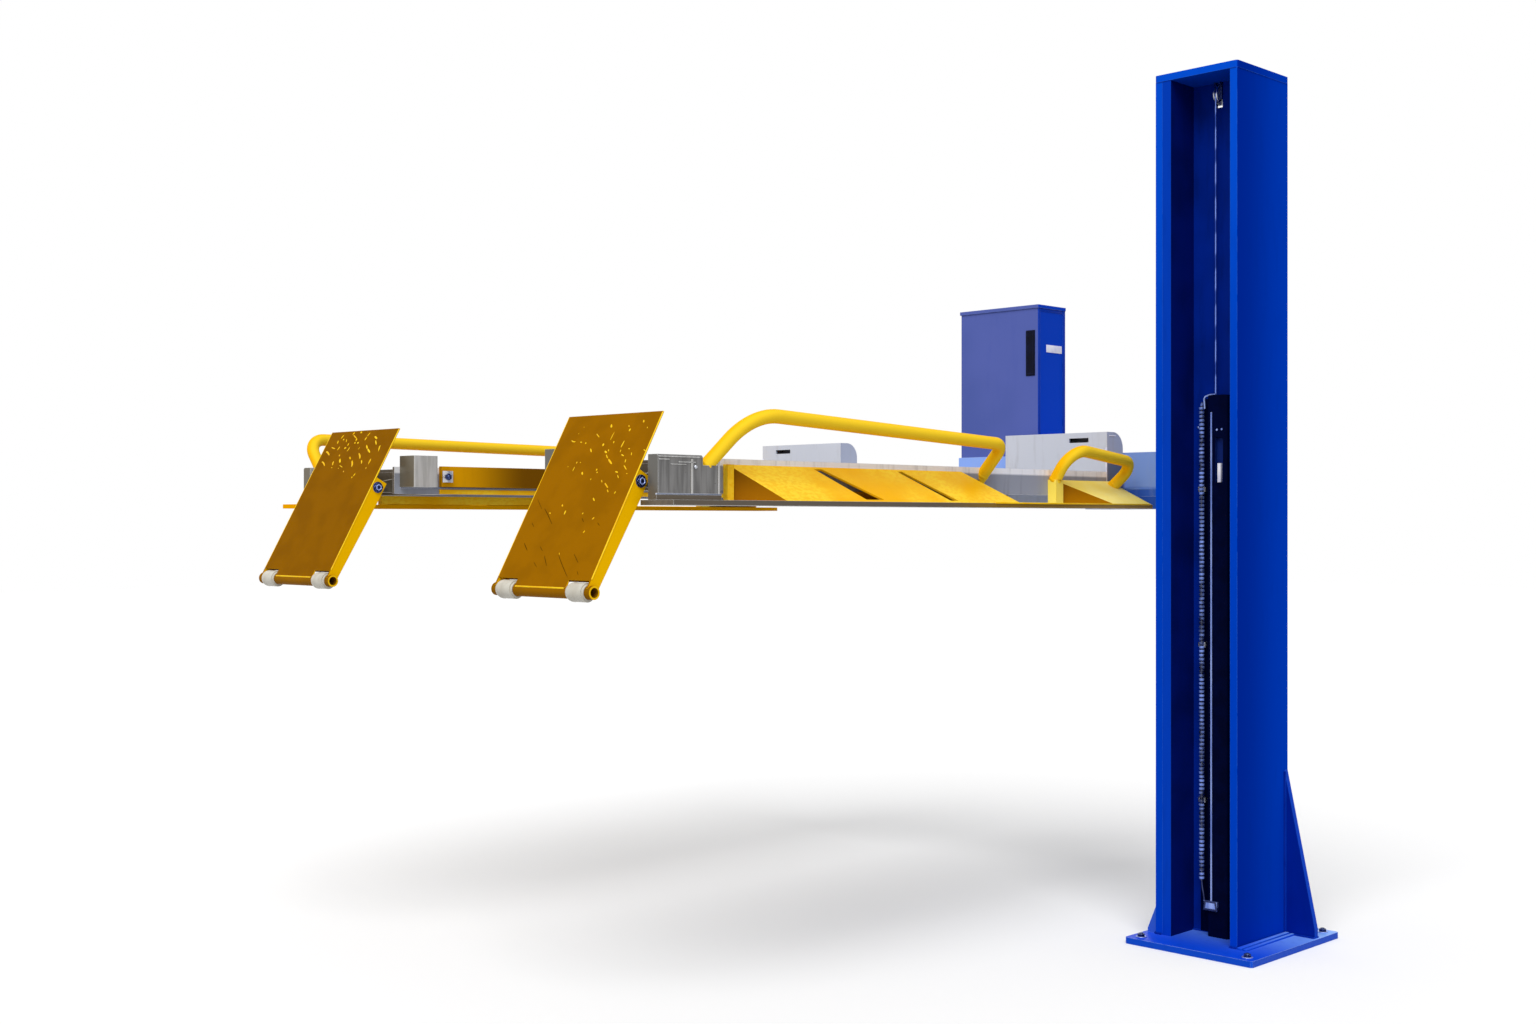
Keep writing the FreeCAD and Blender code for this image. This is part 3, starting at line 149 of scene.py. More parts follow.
class SurfaceTree:
    """One material's node tree, with the patterns that the finishes share."""

    def __init__(self, name: str) -> None:
        """Starts a material with an empty tree."""
        self.material = bpy.data.materials.new(name)
        self.material.use_nodes = True
        self.tree = self.material.node_tree
        self.tree.nodes.clear()
        coordinates = add_node(self.tree, "ShaderNodeTexCoord")
        self.place = coordinates.outputs["Object"]

    def stretched(self, stretch: Point) -> Socket:
        """Gives Object coordinates stretched along the axes."""
        node = add_node(
            self.tree, "ShaderNodeVectorMath", {0: self.place, 1: stretch}, operation="MULTIPLY")
        return node.outputs[0]

    def noise(self, size_mm: float, detail: float = 3.0, stretch: Point = (1, 1, 1)) -> Socket:
        """Gives noise with features of a real size.

        Args:
            size_mm: the size of one patch.
            detail: the octaves of finer noise.
            stretch: how much finer the noise is along each axis.

        Returns:
            The noise value, about 0.3 to 0.7.
        """
        node = add_node(
            self.tree, "ShaderNodeTexNoise",
            {"Vector": self.stretched(stretch), "Scale": per_metre(size_mm), "Detail": detail})
        return node.outputs["Fac"]

    def math(self, operation: str, first: Value, second: Value = 0.0) -> Socket:
        """Gives one step of arithmetic on two values."""
        node = add_node(
            self.tree, "ShaderNodeMath", {0: first, 1: second}, operation=operation, use_clamp=False)
        return node.outputs[0]

    def fade(self, value: Socket, low: float, high: float) -> Socket:
        """Gives 0 below one value, 1 above another, and a smooth run between."""
        node = add_node(
            self.tree, "ShaderNodeMapRange",
            {"Value": value, "From Min": low, "From Max": high},
            interpolation_type="SMOOTHSTEP", clamp=True)
        return node.outputs["Result"]

    def axis(self, name: str) -> Socket:
        """Gives the X, Y or Z of the point, in metres."""
        node = add_node(self.tree, "ShaderNodeSeparateXYZ", {"Vector": self.place})
        return node.outputs[name]

    def mix(self, share: Value, first: Value, second: Value) -> Socket:
        """Mixes two colours."""
        node = add_node(
            self.tree, "ShaderNodeMix", {0: share, 6: first, 7: second},
            data_type="RGBA", blend_type="MIX")
        return node.outputs[2]

    def facing(self, direction: Point, low: float = 0.5, high: float = 0.95) -> Socket:
        """Gives 1 on faces that point along a fixed direction of the object."""
        geometry = add_node(self.tree, "ShaderNodeNewGeometry")
        node = add_node(
            self.tree, "ShaderNodeVectorMath", {0: geometry.outputs["True Normal"], 1: direction},
            operation="DOT_PRODUCT")
        return self.fade(node.outputs["Value"], low, high)

    def edges(self, width_mm: float) -> Socket:
        """Gives 1 along outer edges, where paint is rubbed and light catches."""
        bevel = add_node(self.tree, "ShaderNodeBevel", {"Radius": width_mm * MM}, samples=6)
        geometry = add_node(self.tree, "ShaderNodeNewGeometry")
        node = add_node(
            self.tree, "ShaderNodeVectorMath",
            {0: bevel.outputs["Normal"], 1: geometry.outputs["Normal"]}, operation="DOT_PRODUCT")
        return self.fade(self.math("SUBTRACT", 1.0, node.outputs["Value"]), 0.01, 0.12)

    def relief(
        self, height: Socket, depth_mm: float, strength: float, round_mm: float = 1.2,
    ) -> Socket:
        """Gives a bumped normal on top of slightly rounded edges."""
        bevel = add_node(self.tree, "ShaderNodeBevel", {"Radius": round_mm * MM}, samples=4)
        node = add_node(
            self.tree, "ShaderNodeBump",
            {"Height": height, "Distance": depth_mm * MM, "Strength": strength,
             "Normal": bevel.outputs["Normal"]})
        return node.outputs["Normal"]

    def finish(self, **inputs: Value) -> bpy.types.Material:
        """Adds the shader and the output.

        Args:
            inputs: the shader's inputs, with underscores for the spaces in their names.

        Returns:
            The finished material.
        """
        links = {name.replace("_", " "): value for name, value in inputs.items()}
        shader = add_node(self.tree, "ShaderNodeBsdfPrincipled", links)
        add_node(self.tree, "ShaderNodeOutputMaterial", {"Surface": shader.outputs["BSDF"]})
        return self.material


@dataclass(frozen=True)
class Tint:
    """A tone that a finish takes on the faces that point one way, or two along an axis: mostly painted
    light and shade for how the light falls on those faces.
    """

    direction: Point
    colour: str
    far_colour: str = ""
    axis: str = "X"
    span: tuple[float, float] = (0.0, 1.0)
    reach: tuple[float, float] = (0.5, 0.95)

    def lay(self, s: SurfaceTree, under: Socket) -> Socket:
        """Lays the tone over a colour."""
        tone: Value = self.colour
        if self.far_colour:
            tone = s.mix(s.fade(s.axis(self.axis), *self.span), self.colour, self.far_colour)
        return s.mix(s.facing(self.direction, *self.reach), under, tone)


@dataclass(frozen=True)
class Enamel:
    """Workshop enamel sprayed on steel: a soft gloss with slight ripple, dust, rubbed edges with a painted
    highlight, and tints of painted light and shade.
    """

    name: str
    colour: str
    deep: str
    edge: str
    roughness: float = 0.42
    specular: float = 0.3
    tints: tuple[Tint, ...] = ()
    patch_mm: float = 220.0
    mottle: float = 0.0
    mottle_mm: float = 12.0
    grime: str = "#2a2622"
    grime_share: float = 0.12
    edge_share: float = 0.7

    def material(self) -> bpy.types.Material:
        """Builds the finish."""
        s = SurfaceTree(self.name)
        # Sprayed coats differ a little in depth from one area to the next.
        patches = s.fade(s.noise(self.patch_mm, 2.0), 0.38, 0.66)
        paint = s.mix(patches, self.colour, self.deep)
        if self.mottle:
            # Small dabs of the deeper tone, as from a second coat laid by hand.
            dabs = s.fade(s.noise(self.mottle_mm, 5.0, (1, 1.6, 1.6)), 0.42, 0.62)
            share = s.math("MULTIPLY", dabs, self.mottle)
            paint = s.mix(share, paint, self.deep)
        # The tints paint light and shade on the faces that point one way.
        for tint in self.tints:
            paint = tint.lay(s, paint)
        # Greasy dust runs down and gathers in streaks a hand's breadth long.
        streaks = s.noise(26.0, 4.0, (1, 1, 0.18))
        dirt = s.math("MULTIPLY", s.fade(streaks, 0.5, 0.78), self.grime_share)
        paint = s.mix(dirt, paint, self.grime)
        # Edges are rubbed thin by hands, straps and tyres, and carry a painted highlight.
        rubbed_and_highlit = s.math("MULTIPLY", s.edges(2.2), s.fade(s.noise(35.0, 4.0), 0.28, 0.5))
        paint = s.mix(s.math("MULTIPLY", rubbed_and_highlit, self.edge_share), paint, self.edge)
        gloss = s.math("ADD", s.math("MULTIPLY", s.noise(60.0, 4.0), 0.16), self.roughness - 0.08)
        # Orange peel of sprayed enamel, about 5 mm from crest to crest.
        peel = s.relief(s.noise(5.0, 2.0), 0.06, 0.5)
        return s.finish(
            Base_Color=paint, Roughness=gloss, Normal=peel, Specular_IOR_Level=self.specular)


@dataclass(frozen=True)
class TreadEnamel:
    """Dull enamel on a ramp's plate: fine grain, small dents, a face of darker ochre as painted shade and
    a brighter flange.
    """

    name: str
    colour: str = "#9a6400"
    deep: str = "#905d00"
    edge: str = "#f2b90c"
    flange: str = "#ffc200"

    def material(self) -> bpy.types.Material:
        """Builds the finish."""
        s = SurfaceTree(self.name)
        paint = s.mix(s.fade(s.noise(90.0, 3.0), 0.38, 0.66), self.colour, self.deep)
        # Grit under the tyres leaves a speckle 4 mm across.
        grain = s.fade(s.noise(4.0, 4.0), 0.35, 0.7)
        paint = s.mix(s.math("MULTIPLY", grain, 0.3), paint, self.deep)
        # The flanges, facing along Y, keep the plain bright yellow; the plate's face stays ochre as
        # painted shade.
        side = s.math("ADD", s.facing((0, -1, 0)), s.facing((0, 1, 0)))
        paint = s.mix(side, paint, self.flange)
        # Edges take a paler yellow, partly rubbed and partly a painted highlight.
        paint = s.mix(s.math("MULTIPLY", s.edges(1.6), 0.5), paint, self.edge)
        # Dents a thumb wide from stones and wheel rims.
        dents = s.math("ADD", s.noise(26.0, 2.0), s.math("MULTIPLY", s.noise(6.0, 3.0), 0.25))
        normal = s.relief(dents, 0.9, 0.5)
        return s.finish(Base_Color=paint, Roughness=0.55, Normal=normal, Specular_IOR_Level=0.01)


@dataclass(frozen=True)
class SheetSteel:
    """Bare or galvanised steel: grey, with drawn streaks and dull patches."""

    name: str
    colour: str
    deep: str
    edge: str = "#e6e8ea"
    metallic: float = 0.85
    roughness: float = 0.34
    streak: Point = (1.0, 1.0, 0.12)
    tints: tuple[Tint, ...] = ()

    def material(self) -> bpy.types.Material:
        """Builds the finish."""
        s = SurfaceTree(self.name)
        # Drawn bands 20 mm wide follow the way the steel was rolled.
        bands = s.fade(s.noise(20.0, 5.0, self.streak), 0.36, 0.66)
        metal = s.mix(bands, self.colour, self.deep)
        # The tints paint light and shade on the faces that point one way.
        for tint in self.tints:
            metal = tint.lay(s, metal)
        # Edges go pale, partly rubbed bright and partly a painted highlight.
        metal = s.mix(s.math("MULTIPLY", s.edges(1.6), 0.75), metal, self.edge)
        gloss = s.math("ADD", s.math("MULTIPLY", s.noise(24.0, 4.0), 0.24), self.roughness - 0.1)
        normal = s.relief(s.noise(4.0, 3.0, self.streak), 0.05, 0.4)
        return s.finish(Base_Color=metal, Metallic=self.metallic, Roughness=gloss, Normal=normal)


@dataclass(frozen=True)
class MouldedPlastic:
    """Injection-moulded plastic: even colour with a fine matt grain, and scuffed edges that also carry a
    painted highlight.
    """

    name: str
    colour: str
    deep: str
    edge: str
    roughness: float = 0.5
    specular: float = 0.5
    rib_mm: float = 0.0
    first_rib_mm: float = 0.0

    def material(self) -> bpy.types.Material:
        """Builds the finish."""
        s = SurfaceTree(self.name)
        body = s.mix(s.fade(s.noise(40.0, 3.0), 0.38, 0.66), self.colour, self.deep)
        if self.rib_mm:
            # The grooves between the ribs take the deep tone as painted shade.
            up = s.math("SUBTRACT", s.axis("Z"), self.first_rib_mm * MM)
            away = s.math("PINGPONG", up, self.rib_mm / 2 * MM)
            body = s.mix(s.fade(away, self.rib_mm * 0.22 * MM, self.rib_mm * 0.4 * MM), body, self.deep)
        # Edges go pale where scuffed and as a painted highlight.
        scuffs_and_highlight = s.math("MULTIPLY", s.edges(1.4), s.fade(s.noise(9.0, 4.0), 0.35, 0.6))
        body = s.mix(s.math("MULTIPLY", scuffs_and_highlight, 0.6), body, self.edge)
        # Grain of the mould, drawn 2 mm wide so that it shows at all.
        normal = s.relief(s.noise(2.0, 2.0), 0.04, 0.4)
        return s.finish(
            Base_Color=body, Roughness=self.roughness, Normal=normal,
            Specular_IOR_Level=self.specular)


@dataclass(frozen=True)
class WireRope:
    """Galvanised wire rope: bright steel with strands that wind round it."""

    name: str = "galvanised_wire_rope"
    # Both tones are blue as a painted reflection of the blue post on the galvanised steel, and the deep
    # tone between the strands is painted shade.
    colour: str = "#7f9cf0"
    deep: str = "#3552b0"
    lay_mm: float = 9.0

    def material(self) -> bpy.types.Material:
        """Builds the finish."""
        s = SurfaceTree(self.name)
        wave = add_node(
            s.tree, "ShaderNodeTexWave",
            {"Vector": s.stretched((3.0, 3.0, 1.0)), "Scale": per_metre(self.lay_mm) / 20,
             "Distortion": 0.4},
            bands_direction="DIAGONAL")
        strands = wave.outputs["Fac"]
        wire = s.mix(s.fade(strands, 0.15, 0.6), self.deep, self.colour)
        normal = s.relief(strands, 0.5, 0.8, 0.4)
        return s.finish(Base_Color=wire, Metallic=0.8, Roughness=0.35, Normal=normal)


@dataclass(frozen=True)
class Finishes:
    """Every finish on the lift, built once."""

    # The tints are painted light and shade: the -X faces lighter higher up, the -Y faces darker towards
    # the front, and the +Y faces a darker blue.
    column: Enamel = Enamel(
        "column_enamel", "#0042c6", "#003dbc", "#3f76e8", roughness=0.55, specular=0.0,
        tints=(Tint((-1, 0, 0), "#003fc0", "#0650d6", "Z", (1.5, 2.7)),
               Tint((0, -1, 0), "#002aa0", "#003cc0", "X", (-0.15, 0.16)),
               Tint((0, 1, 0), "#0039b0")),
        patch_mm=500.0, grime="#002a8c")
    # The gusset paint is a darker copy of the post's blue as painted shade, with its -Y faces lighter as
    # painted light; the foot welds share it.
    gusset: Enamel = Enamel(
        "gusset_enamel", "#00228e", "#001e86", "#1c4cc4", roughness=0.45, specular=0.03,
        tints=(Tint((0, -1, 0), "#0040c0"),), grime="#001550")
    # The foot gussets take a paler blue than the post as a painted reflection haze.
    foot_gusset: Enamel = Enamel(
        "foot_gusset_enamel", "#3f68d2", "#2f5ac6", "#86a6f4", roughness=0.45, specular=0.05,
        grime="#1c3c98")
    # The web's darker blue and heavier streaks are painted shade of the recessed channel together with
    # some dirt.
    channel: Enamel = Enamel(
        "channel_enamel", "#002590", "#002080", "#1a49bc", roughness=0.5, specular=0.03,
        grime="#000f3c", grime_share=0.3)
    # The liner's near-black blue is painted shade deep in the channel, and its faces towards -X a lighter
    # blue as painted light.
    liner: Enamel = Enamel(
        "liner_enamel", "#001468", "#001056", "#1640b0", roughness=0.5, specular=0.03,
        tints=(Tint((-1, 0, 0), "#003cb8"),), grime="#00082c")
    # On top the blue lightens towards the rear as a painted highlight, and the front and -Y faces take
    # their own blues as painted shade.
    base: Enamel = Enamel(
        "base_plate_enamel", "#2462e4", "#1a58de", "#a6c4ff", roughness=0.35, specular=0.08,
        tints=(Tint((0, 0, 1), "#0d48dc", "#80b0ff", "X", (-0.24, 0.27)),
               Tint((-1, 0, 0), "#0848c6"), Tint((0, -1, 0), "#0c4ccc")), grime="#0838a4",
        grime_share=0.2)
    # The arm's pale blue is a painted reflection on the blue paint; its -X face is darker below a line and
    # paler above it as painted shade and light.
    arm: Enamel = Enamel(
        "arm_enamel_painted_reflection", "#84a0e6", "#7690dc", "#c3d2fa", roughness=0.5, specular=0.1,
        tints=(Tint((-1, 0, 0), "#3f6ccc", "#8fb0f4", "Z", (1.452, 1.468)),),
        grime="#a6b4dc", grime_share=0.2)
    # The shelf takes a paler blue than the post.
    shelf: Enamel = Enamel(
        "pale_shelf_enamel", "#3f6ac6", "#345fbc", "#9db4f0", roughness=0.5, specular=0.06,
        grime="#5c78c0")
    # The cabinet's lavender-blue base is a painted reflection haze; its -Y faces take the plain blue.
    cabinet: Enamel = Enamel(
        "cabinet_enamel", "#5b69b4", "#5262aa", "#8ca2ea", roughness=0.45, specular=0.03,
        tints=(Tint((0, -1, 0), "#0042c8", "#003fc2", "Z", (1.7, 2.1)),), patch_mm=400.0,
        grime="#0030a0", grime_share=0.05)
    cabinet_dark: Enamel = Enamel(
        "cabinet_edge_enamel", "#0038b0", "#0032a4", "#3f6ce0", roughness=0.4, specular=0.04,
        grime="#002070")
    # On the -Y faces a white band along the top edge is a painted highlight, and the -X faces take a dark
    # brown as painted shade.
    deck: Enamel = Enamel(
        "deck_grey_enamel", "#a6a9b2", "#979aa4", "#e8e9ee", roughness=0.4, specular=0.15,
        tints=(Tint((0, -1, 0), "#989ca8", "#f6f7fb", "Z", (1.492, 1.500)),
               Tint((-1, 0, 0), "#6e665a"), Tint((0, 0, 1), "#8c8e92")), grime="#6b6a68",
        grime_share=0.3)
    sill: SheetSteel = SheetSteel(
        "sill_rolled_steel", "#6c6454", "#5c5446", edge="#8c8472", metallic=0.2,
        streak=(1.0, 0.12, 1.0))
    # The -Y faces darken lower down as a painted shadow, and the -X faces are a little darker, more so
    # lower down, as painted shade.
    beam: Enamel = Enamel(
        "beam_grey_enamel", "#dcdfe8", "#d2d5de", "#f8f8fa", roughness=0.4, specular=0.15,
        tints=(Tint((0, -1, 0), "#68728a", "#b6bed4", "Z", (1.540, 1.556)),
               Tint((-1, 0, 0), "#c4ccde", "#d6dae6", "Z", (1.47, 1.53))),
        grime="#a8a8ac", grime_share=0.3)
    ledge: SheetSteel = SheetSteel(
        "ledge_rolled_steel", "#655a4b", "#584d40", metallic=0.3, streak=(0.1, 1.0, 1.0),
        tints=(Tint((0, 0, 1), "#e2e2e4"),
               Tint((0, -1, 0), "#584e40", "#a27c14", "X", (-1.0, -0.55))))
    far_ledge: Enamel = Enamel(
        "far_ledge_enamel", "#ffb400", "#f2a600", "#ffd040", roughness=0.6, specular=0.0,
        grime="#a87404", grime_share=0.1)
    # The front faces of both blocks, facing -X, take a darker tone as painted shade.
    near_block: SheetSteel = SheetSteel(
        "near_block_cut_steel", "#7c7b7a", "#626160", metallic=0.35, roughness=0.3,
        streak=(1.6, 1.6, 0.15), tints=(Tint((-1, 0, 0), "#66645f"),))
    far_block: SheetSteel = SheetSteel(
        "far_block_cut_steel", "#c2c1bf", "#acaba8", metallic=0.3, roughness=0.35,
        streak=(1.6, 1.6, 0.15), tints=(Tint((-1, 0, 0), "#6c6453"),))
    # The sloping end plate takes a dark brown as painted shade, darker higher up, and the undersides a
    # deeper orange as painted shade.
    wedge: Enamel = Enamel(
        "wedge_enamel", "#ffd634", "#f6b608", "#ffc400", roughness=0.45, specular=0.04,
        mottle=0.55, mottle_mm=16.0, tints=(
            Tint((-0.79, -0.61, 0), "#9c6200", "#7c4e00", "Z", (1.40, 1.49), (0.85, 0.98)),
            Tint((0, -0.61, -0.79), "#ffb200")), grime="#e0a820", grime_share=0.15)
    # The short wedge is a paler copy of the wedge's yellow as painted light, and its end plate a dark
    # brown as painted shade, darker higher up.
    short_wedge: Enamel = Enamel(
        "short_wedge_enamel", "#ffef90", "#ffe25c", "#ffc400", roughness=0.45, specular=0.04,
        mottle=0.25, mottle_mm=16.0, tints=(
            Tint((-0.61, -0.79, 0), "#ac7000", "#965e00", "Z", (1.40, 1.47), (0.85, 0.98)),),
        grime="#f0c850", grime_share=0.08)
    # The tubes' -Y sides take a brighter yellow as painted light.
    guard: Enamel = Enamel(
        "guard_tube_enamel", "#ffc812", "#fcba08", "#ffe060", roughness=0.5, specular=0.03,
        tints=(Tint((0, -1, 0), "#ffd42a", reach=(0.2, 0.9)),), patch_mm=300.0,
        grime="#d89400", grime_share=0.05)
    # The bar's -Y face darkens towards the rear as painted shade.
    side_bar: Enamel = Enamel(
        "side_bar_enamel", "#c88a04", "#ac7402", "#e6ad1a", roughness=0.5, specular=0.02,
        tints=(Tint((0, -1, 0), "#e2a004", "#744a02", "X", (-1.75, -1.42)),), grime="#5b3f05",
        grime_share=0.15)
    # Both ramp plates' ochre is painted shade, the far plate's darker still.
    tread: TreadEnamel = TreadEnamel("near_ramp_tread_enamel")
    far_tread: TreadEnamel = TreadEnamel("far_ramp_tread_enamel", colour="#8c5a00", deep="#835300")
    stud: Enamel = Enamel(
        "stud_enamel", "#ffd21a", "#f6bc0c", "#ffe04a", roughness=0.4, specular=0.06,
        patch_mm=60.0, grime="#e0a808")
    # The creases' dark brown is painted shade in the creases of the plate.
    crease: Enamel = Enamel(
        "crease_shade_enamel", "#5c3c00", "#4e3200", "#6a4600", roughness=0.6, specular=0.01,
        grime="#3a2600")
    # The tube's dark ochre is painted shade like the plate's face, while its end faces take the plain
    # bright yellow.
    tube: Enamel = Enamel(
        "ramp_tube_enamel", "#966200", "#8c5c00", "#d9a008", roughness=0.5, specular=0.02,
        tints=(Tint((0, -1, 0), "#ffc814"), Tint((0, 1, 0), "#ffc814")), grime="#8a5c00")
    cover: MouldedPlastic = MouldedPlastic(
        "cover_plastic", "#00062c", "#000424", "#0c1c58", specular=0.02)
    # The pale blue stands for painted highlights on the ribs of the black conduit, and the near-black deep
    # tone for painted shade in its grooves and patches.
    conduit: MouldedPlastic = MouldedPlastic(
        "conduit_plastic", "#7f9cf0", "#060e34", "#c4d8ff", roughness=0.25,
        rib_mm=13.0, first_rib_mm=197.9)
    # The recess's near-black is painted shade inside it.
    recess: MouldedPlastic = MouldedPlastic(
        "recess_plastic", "#060a24", "#03061a", "#2a3a7a", roughness=0.4, specular=0.1)
    window: MouldedPlastic = MouldedPlastic(
        "window_plastic", "#0f2468", "#0b1c58", "#2c4a9c", roughness=0.4, specular=0.04)
    roller: MouldedPlastic = MouldedPlastic(
        "roller_nylon", "#cecabd", "#c0baac", "#f4f4f6", roughness=0.34, specular=0.25)
    plate: MouldedPlastic = MouldedPlastic(
        "blank_plate_plastic", "#f2f2fb", "#dcdcf4", "#ffffff", roughness=0.35)
    bright: SheetSteel = SheetSteel(
        "zinc_plated_steel", "#c9ccd2", "#a9adb6", metallic=1.0, roughness=0.28)
    blued: SheetSteel = SheetSteel(
        "blued_bolt_steel", "#26336a", "#141c40", "#8fa6e8", metallic=0.9, roughness=0.3)
    # The pale blue of this steel is a painted reflection of the blue post, and it stands for the painted
    # glints on the washers, screws, pivot rings and hose that take it.
    pipe: SheetSteel = SheetSteel(
        "hydraulic_pipe_steel", "#9db2ee", "#6f88d4", "#d8e2ff", metallic=0.7, roughness=0.3)
    union: SheetSteel = SheetSteel(
        "union_steel", "#16265c", "#0e1a48", "#8aa4f0", metallic=0.1, roughness=0.45)
    rope: WireRope = WireRope()


class Paintwork:
    """Keeps one material for each finish."""

    def __init__(self, finishes: Finishes) -> None:
        """Starts with no material built."""
        self.finishes = finishes
        self._made: dict[str, bpy.types.Material] = {}

    def __getattr__(self, name: str) -> bpy.types.Material:
        """Builds a finish's material the first time it is asked for."""
        if name not in self._made:
            self._made[name] = getattr(self.finishes, name).material()
        return self._made[name]

    def dress(self, finish: str, *nodes: str) -> None:
        """Gives CAD nodes a finish in their objects' material slots."""
        for name in nodes:
            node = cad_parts[name]
            if not node.material_slots:
                node.data.materials.append(None)
            for slot in node.material_slots:
                slot.link = "OBJECT"
                slot.material = getattr(self, finish)


def pick(piece: bpy.types.Object) -> None:
    """Selects one object alone and makes it active."""
    bpy.ops.object.select_all(action="DESELECT")
    piece.select_set(True)
    bpy.context.view_layer.objects.active = piece


@contextmanager
def editing(piece: bpy.types.Object) -> Iterator[None]:
    """Opens a piece in edit mode with everything selected."""
    pick(piece)
    bpy.ops.object.mode_set(mode="EDIT")
    bpy.ops.mesh.select_all(action="SELECT")
    yield
    bpy.ops.object.mode_set(mode="OBJECT")


def centre_of(low: Sequence[float], high: Sequence[float]) -> Vector:
    """Gives the middle of a box, in metres, from millimetres."""
    return Vector([(a + b) / 2 * MM for a, b in zip(low, high)])


def heading(axis: Vector) -> tuple[float, float, float]:
    """Gives the Euler angles that turn +Z to an axis."""
    return tuple(Z_AXIS.rotation_difference(axis).to_euler())


def applied(piece: bpy.types.Object) -> bpy.types.Object:
    """Puts a piece's place, turn and scale into its mesh."""
    pick(piece)
    bpy.ops.object.transform_apply(location=True, rotation=True, scale=True)
    return piece


def block(
    name: str, low: Sequence[float], high: Sequence[float], bevel_mm: float, steps: int = 2,
) -> bpy.types.Object:
    """Models a plate or block with rounded edges.

    Args:
        name: the piece's name.
        low: its lowest corner in millimetres.
        high: its highest corner in millimetres.
        bevel_mm: the rounding of its edges.
        steps: the segments of that rounding.

    Returns:
        The piece, with its place in its mesh.
    """
    bpy.ops.object.select_all(action="DESELECT")
    size = [(b - a) * MM for a, b in zip(low, high)]
    bpy.ops.mesh.primitive_cube_add(size=1, location=centre_of(low, high), scale=size)
    piece = applied(bpy.context.object)
    piece.name = name
    with editing(piece):
        bpy.ops.mesh.bevel(offset=bevel_mm * MM, segments=steps, affect="EDGES")
    return piece


def turned(
    name: str, profile: Profile, base: Point, axis: Vector, sides: int = 28,
) -> bpy.types.Object:
    """Models a bolt, nut, washer or bush by extruding a ring along its axis.

    Args:
        name: the piece's name.
        profile: radius and height of each ring, in millimetres.
        base: the middle of height 0, in millimetres.
        axis: the direction of growing height.
        sides: the corners of each ring.

    Returns:
        The piece, with its place in its mesh.
    """
    bpy.ops.object.select_all(action="DESELECT")
    radius, height = profile[0]
    start = (Vector(base) + axis * height) * MM
    bpy.ops.mesh.primitive_circle_add(
        vertices=sides, radius=radius * MM, fill_type="NGON", location=start, rotation=heading(axis))
    piece = applied(bpy.context.object)
    piece.name = name
    with editing(piece):
        for (r0, h0), (r1, h1) in zip(profile, profile[1:]):
            bpy.ops.mesh.extrude_region_move(
                TRANSFORM_OT_translate={"value": axis * ((h1 - h0) * MM)})
            bpy.ops.transform.resize(value=(r1 / r0, r1 / r0, r1 / r0))
        bpy.ops.mesh.select_all(action="SELECT")
        bpy.ops.mesh.normals_make_consistent(inside=False)
    return piece


def rods(
    name: str,
    lines: Sequence[Rod],
    sides: int = 12,
    taper: float = 1.0,
) -> bpy.types.Object:
    """Models smooth bent rods as one piece.

    Args:
        name: the piece's name.
        lines: for each rod its radius and its control points, in millimetres.
        sides: the corners round a rod.
        taper: how much of its radius a rod keeps at its ends.

    Returns:
        The piece, with its place in its mesh.
    """
    bpy.ops.object.select_all(action="DESELECT")
    bpy.ops.curve.primitive_nurbs_path_add(location=(0, 0, 0))
    curve = bpy.context.object
    curve.data.splines.clear()
    for radius_mm, points in lines:
        spline = curve.data.splines.new("NURBS")
        spline.points.add(len(points) - 1)
        for point, place in zip(spline.points, points):
            point.co = (*[c * MM for c in place], 1.0)
            point.radius = radius_mm
        spline.points[0].radius = spline.points[-1].radius = radius_mm * taper
        spline.order_u = 3
        spline.use_endpoint_u = True
        spline.resolution_u = 8 if taper == 1.0 else 3
    curve.data.dimensions = "3D"
    curve.data.bevel_depth = MM
    curve.data.bevel_resolution = max(0, sides // 4 - 1)
    curve.data.use_fill_caps = True
    pick(curve)
    bpy.ops.object.convert(target="MESH")
    piece = bpy.context.object
    piece.name = name
    with editing(piece):
        bpy.ops.mesh.remove_doubles(threshold=0.00001)
        bpy.ops.mesh.normals_make_consistent(inside=False)
    return piece


def bent(name: str, points: Sequence[Point], radius_mm: float, sides: int = 12) -> bpy.types.Object:
    """Models one bent tube, hose or weld bead along a smooth line of millimetre points."""
    return rods(name, [(radius_mm, points)], sides)


def joined(name: str, pieces: Sequence[bpy.types.Object]) -> bpy.types.Object:
    """Joins pieces into one object."""
    bpy.ops.object.select_all(action="DESELECT")
    for piece in pieces:
        piece.select_set(True)
    bpy.context.view_layer.objects.active = pieces[0]
    if len(pieces) > 1:
        bpy.ops.object.join()
    pieces[0].name = name
    return pieces[0]


def fitted(
    piece: bpy.types.Object, body: Body, slot: Slot, material: bpy.types.Material,
    angle: float = 35.0,
) -> bpy.types.Object:
    """Finishes a piece: smooth shading, material and body.

    Args:
        piece: the modelled piece.
        body: the body that it rides on.
        slot: not used.
        material: its finish.
        angle: edges sharper than this many degrees stay sharp.

    Returns:
        The same piece.
    """
    applied(piece)
    bpy.ops.object.shade_smooth_by_angle(angle=math.radians(angle))
    piece.data.materials.clear()
    piece.data.materials.append(material)
    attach(piece, body.value)
    slot.value
    return piece


def hex_profile(across_mm: float, height_mm: float, chamfer_mm: float = 1.0) -> Profile:
    """Gives the rings of a chamfered hexagon head or nut."""
    corner = across_mm / math.sqrt(3)
    return [
        (corner * 0.93, 0.0), (corner, chamfer_mm), (corner, height_mm - chamfer_mm),
        (corner * 0.9, height_mm)]


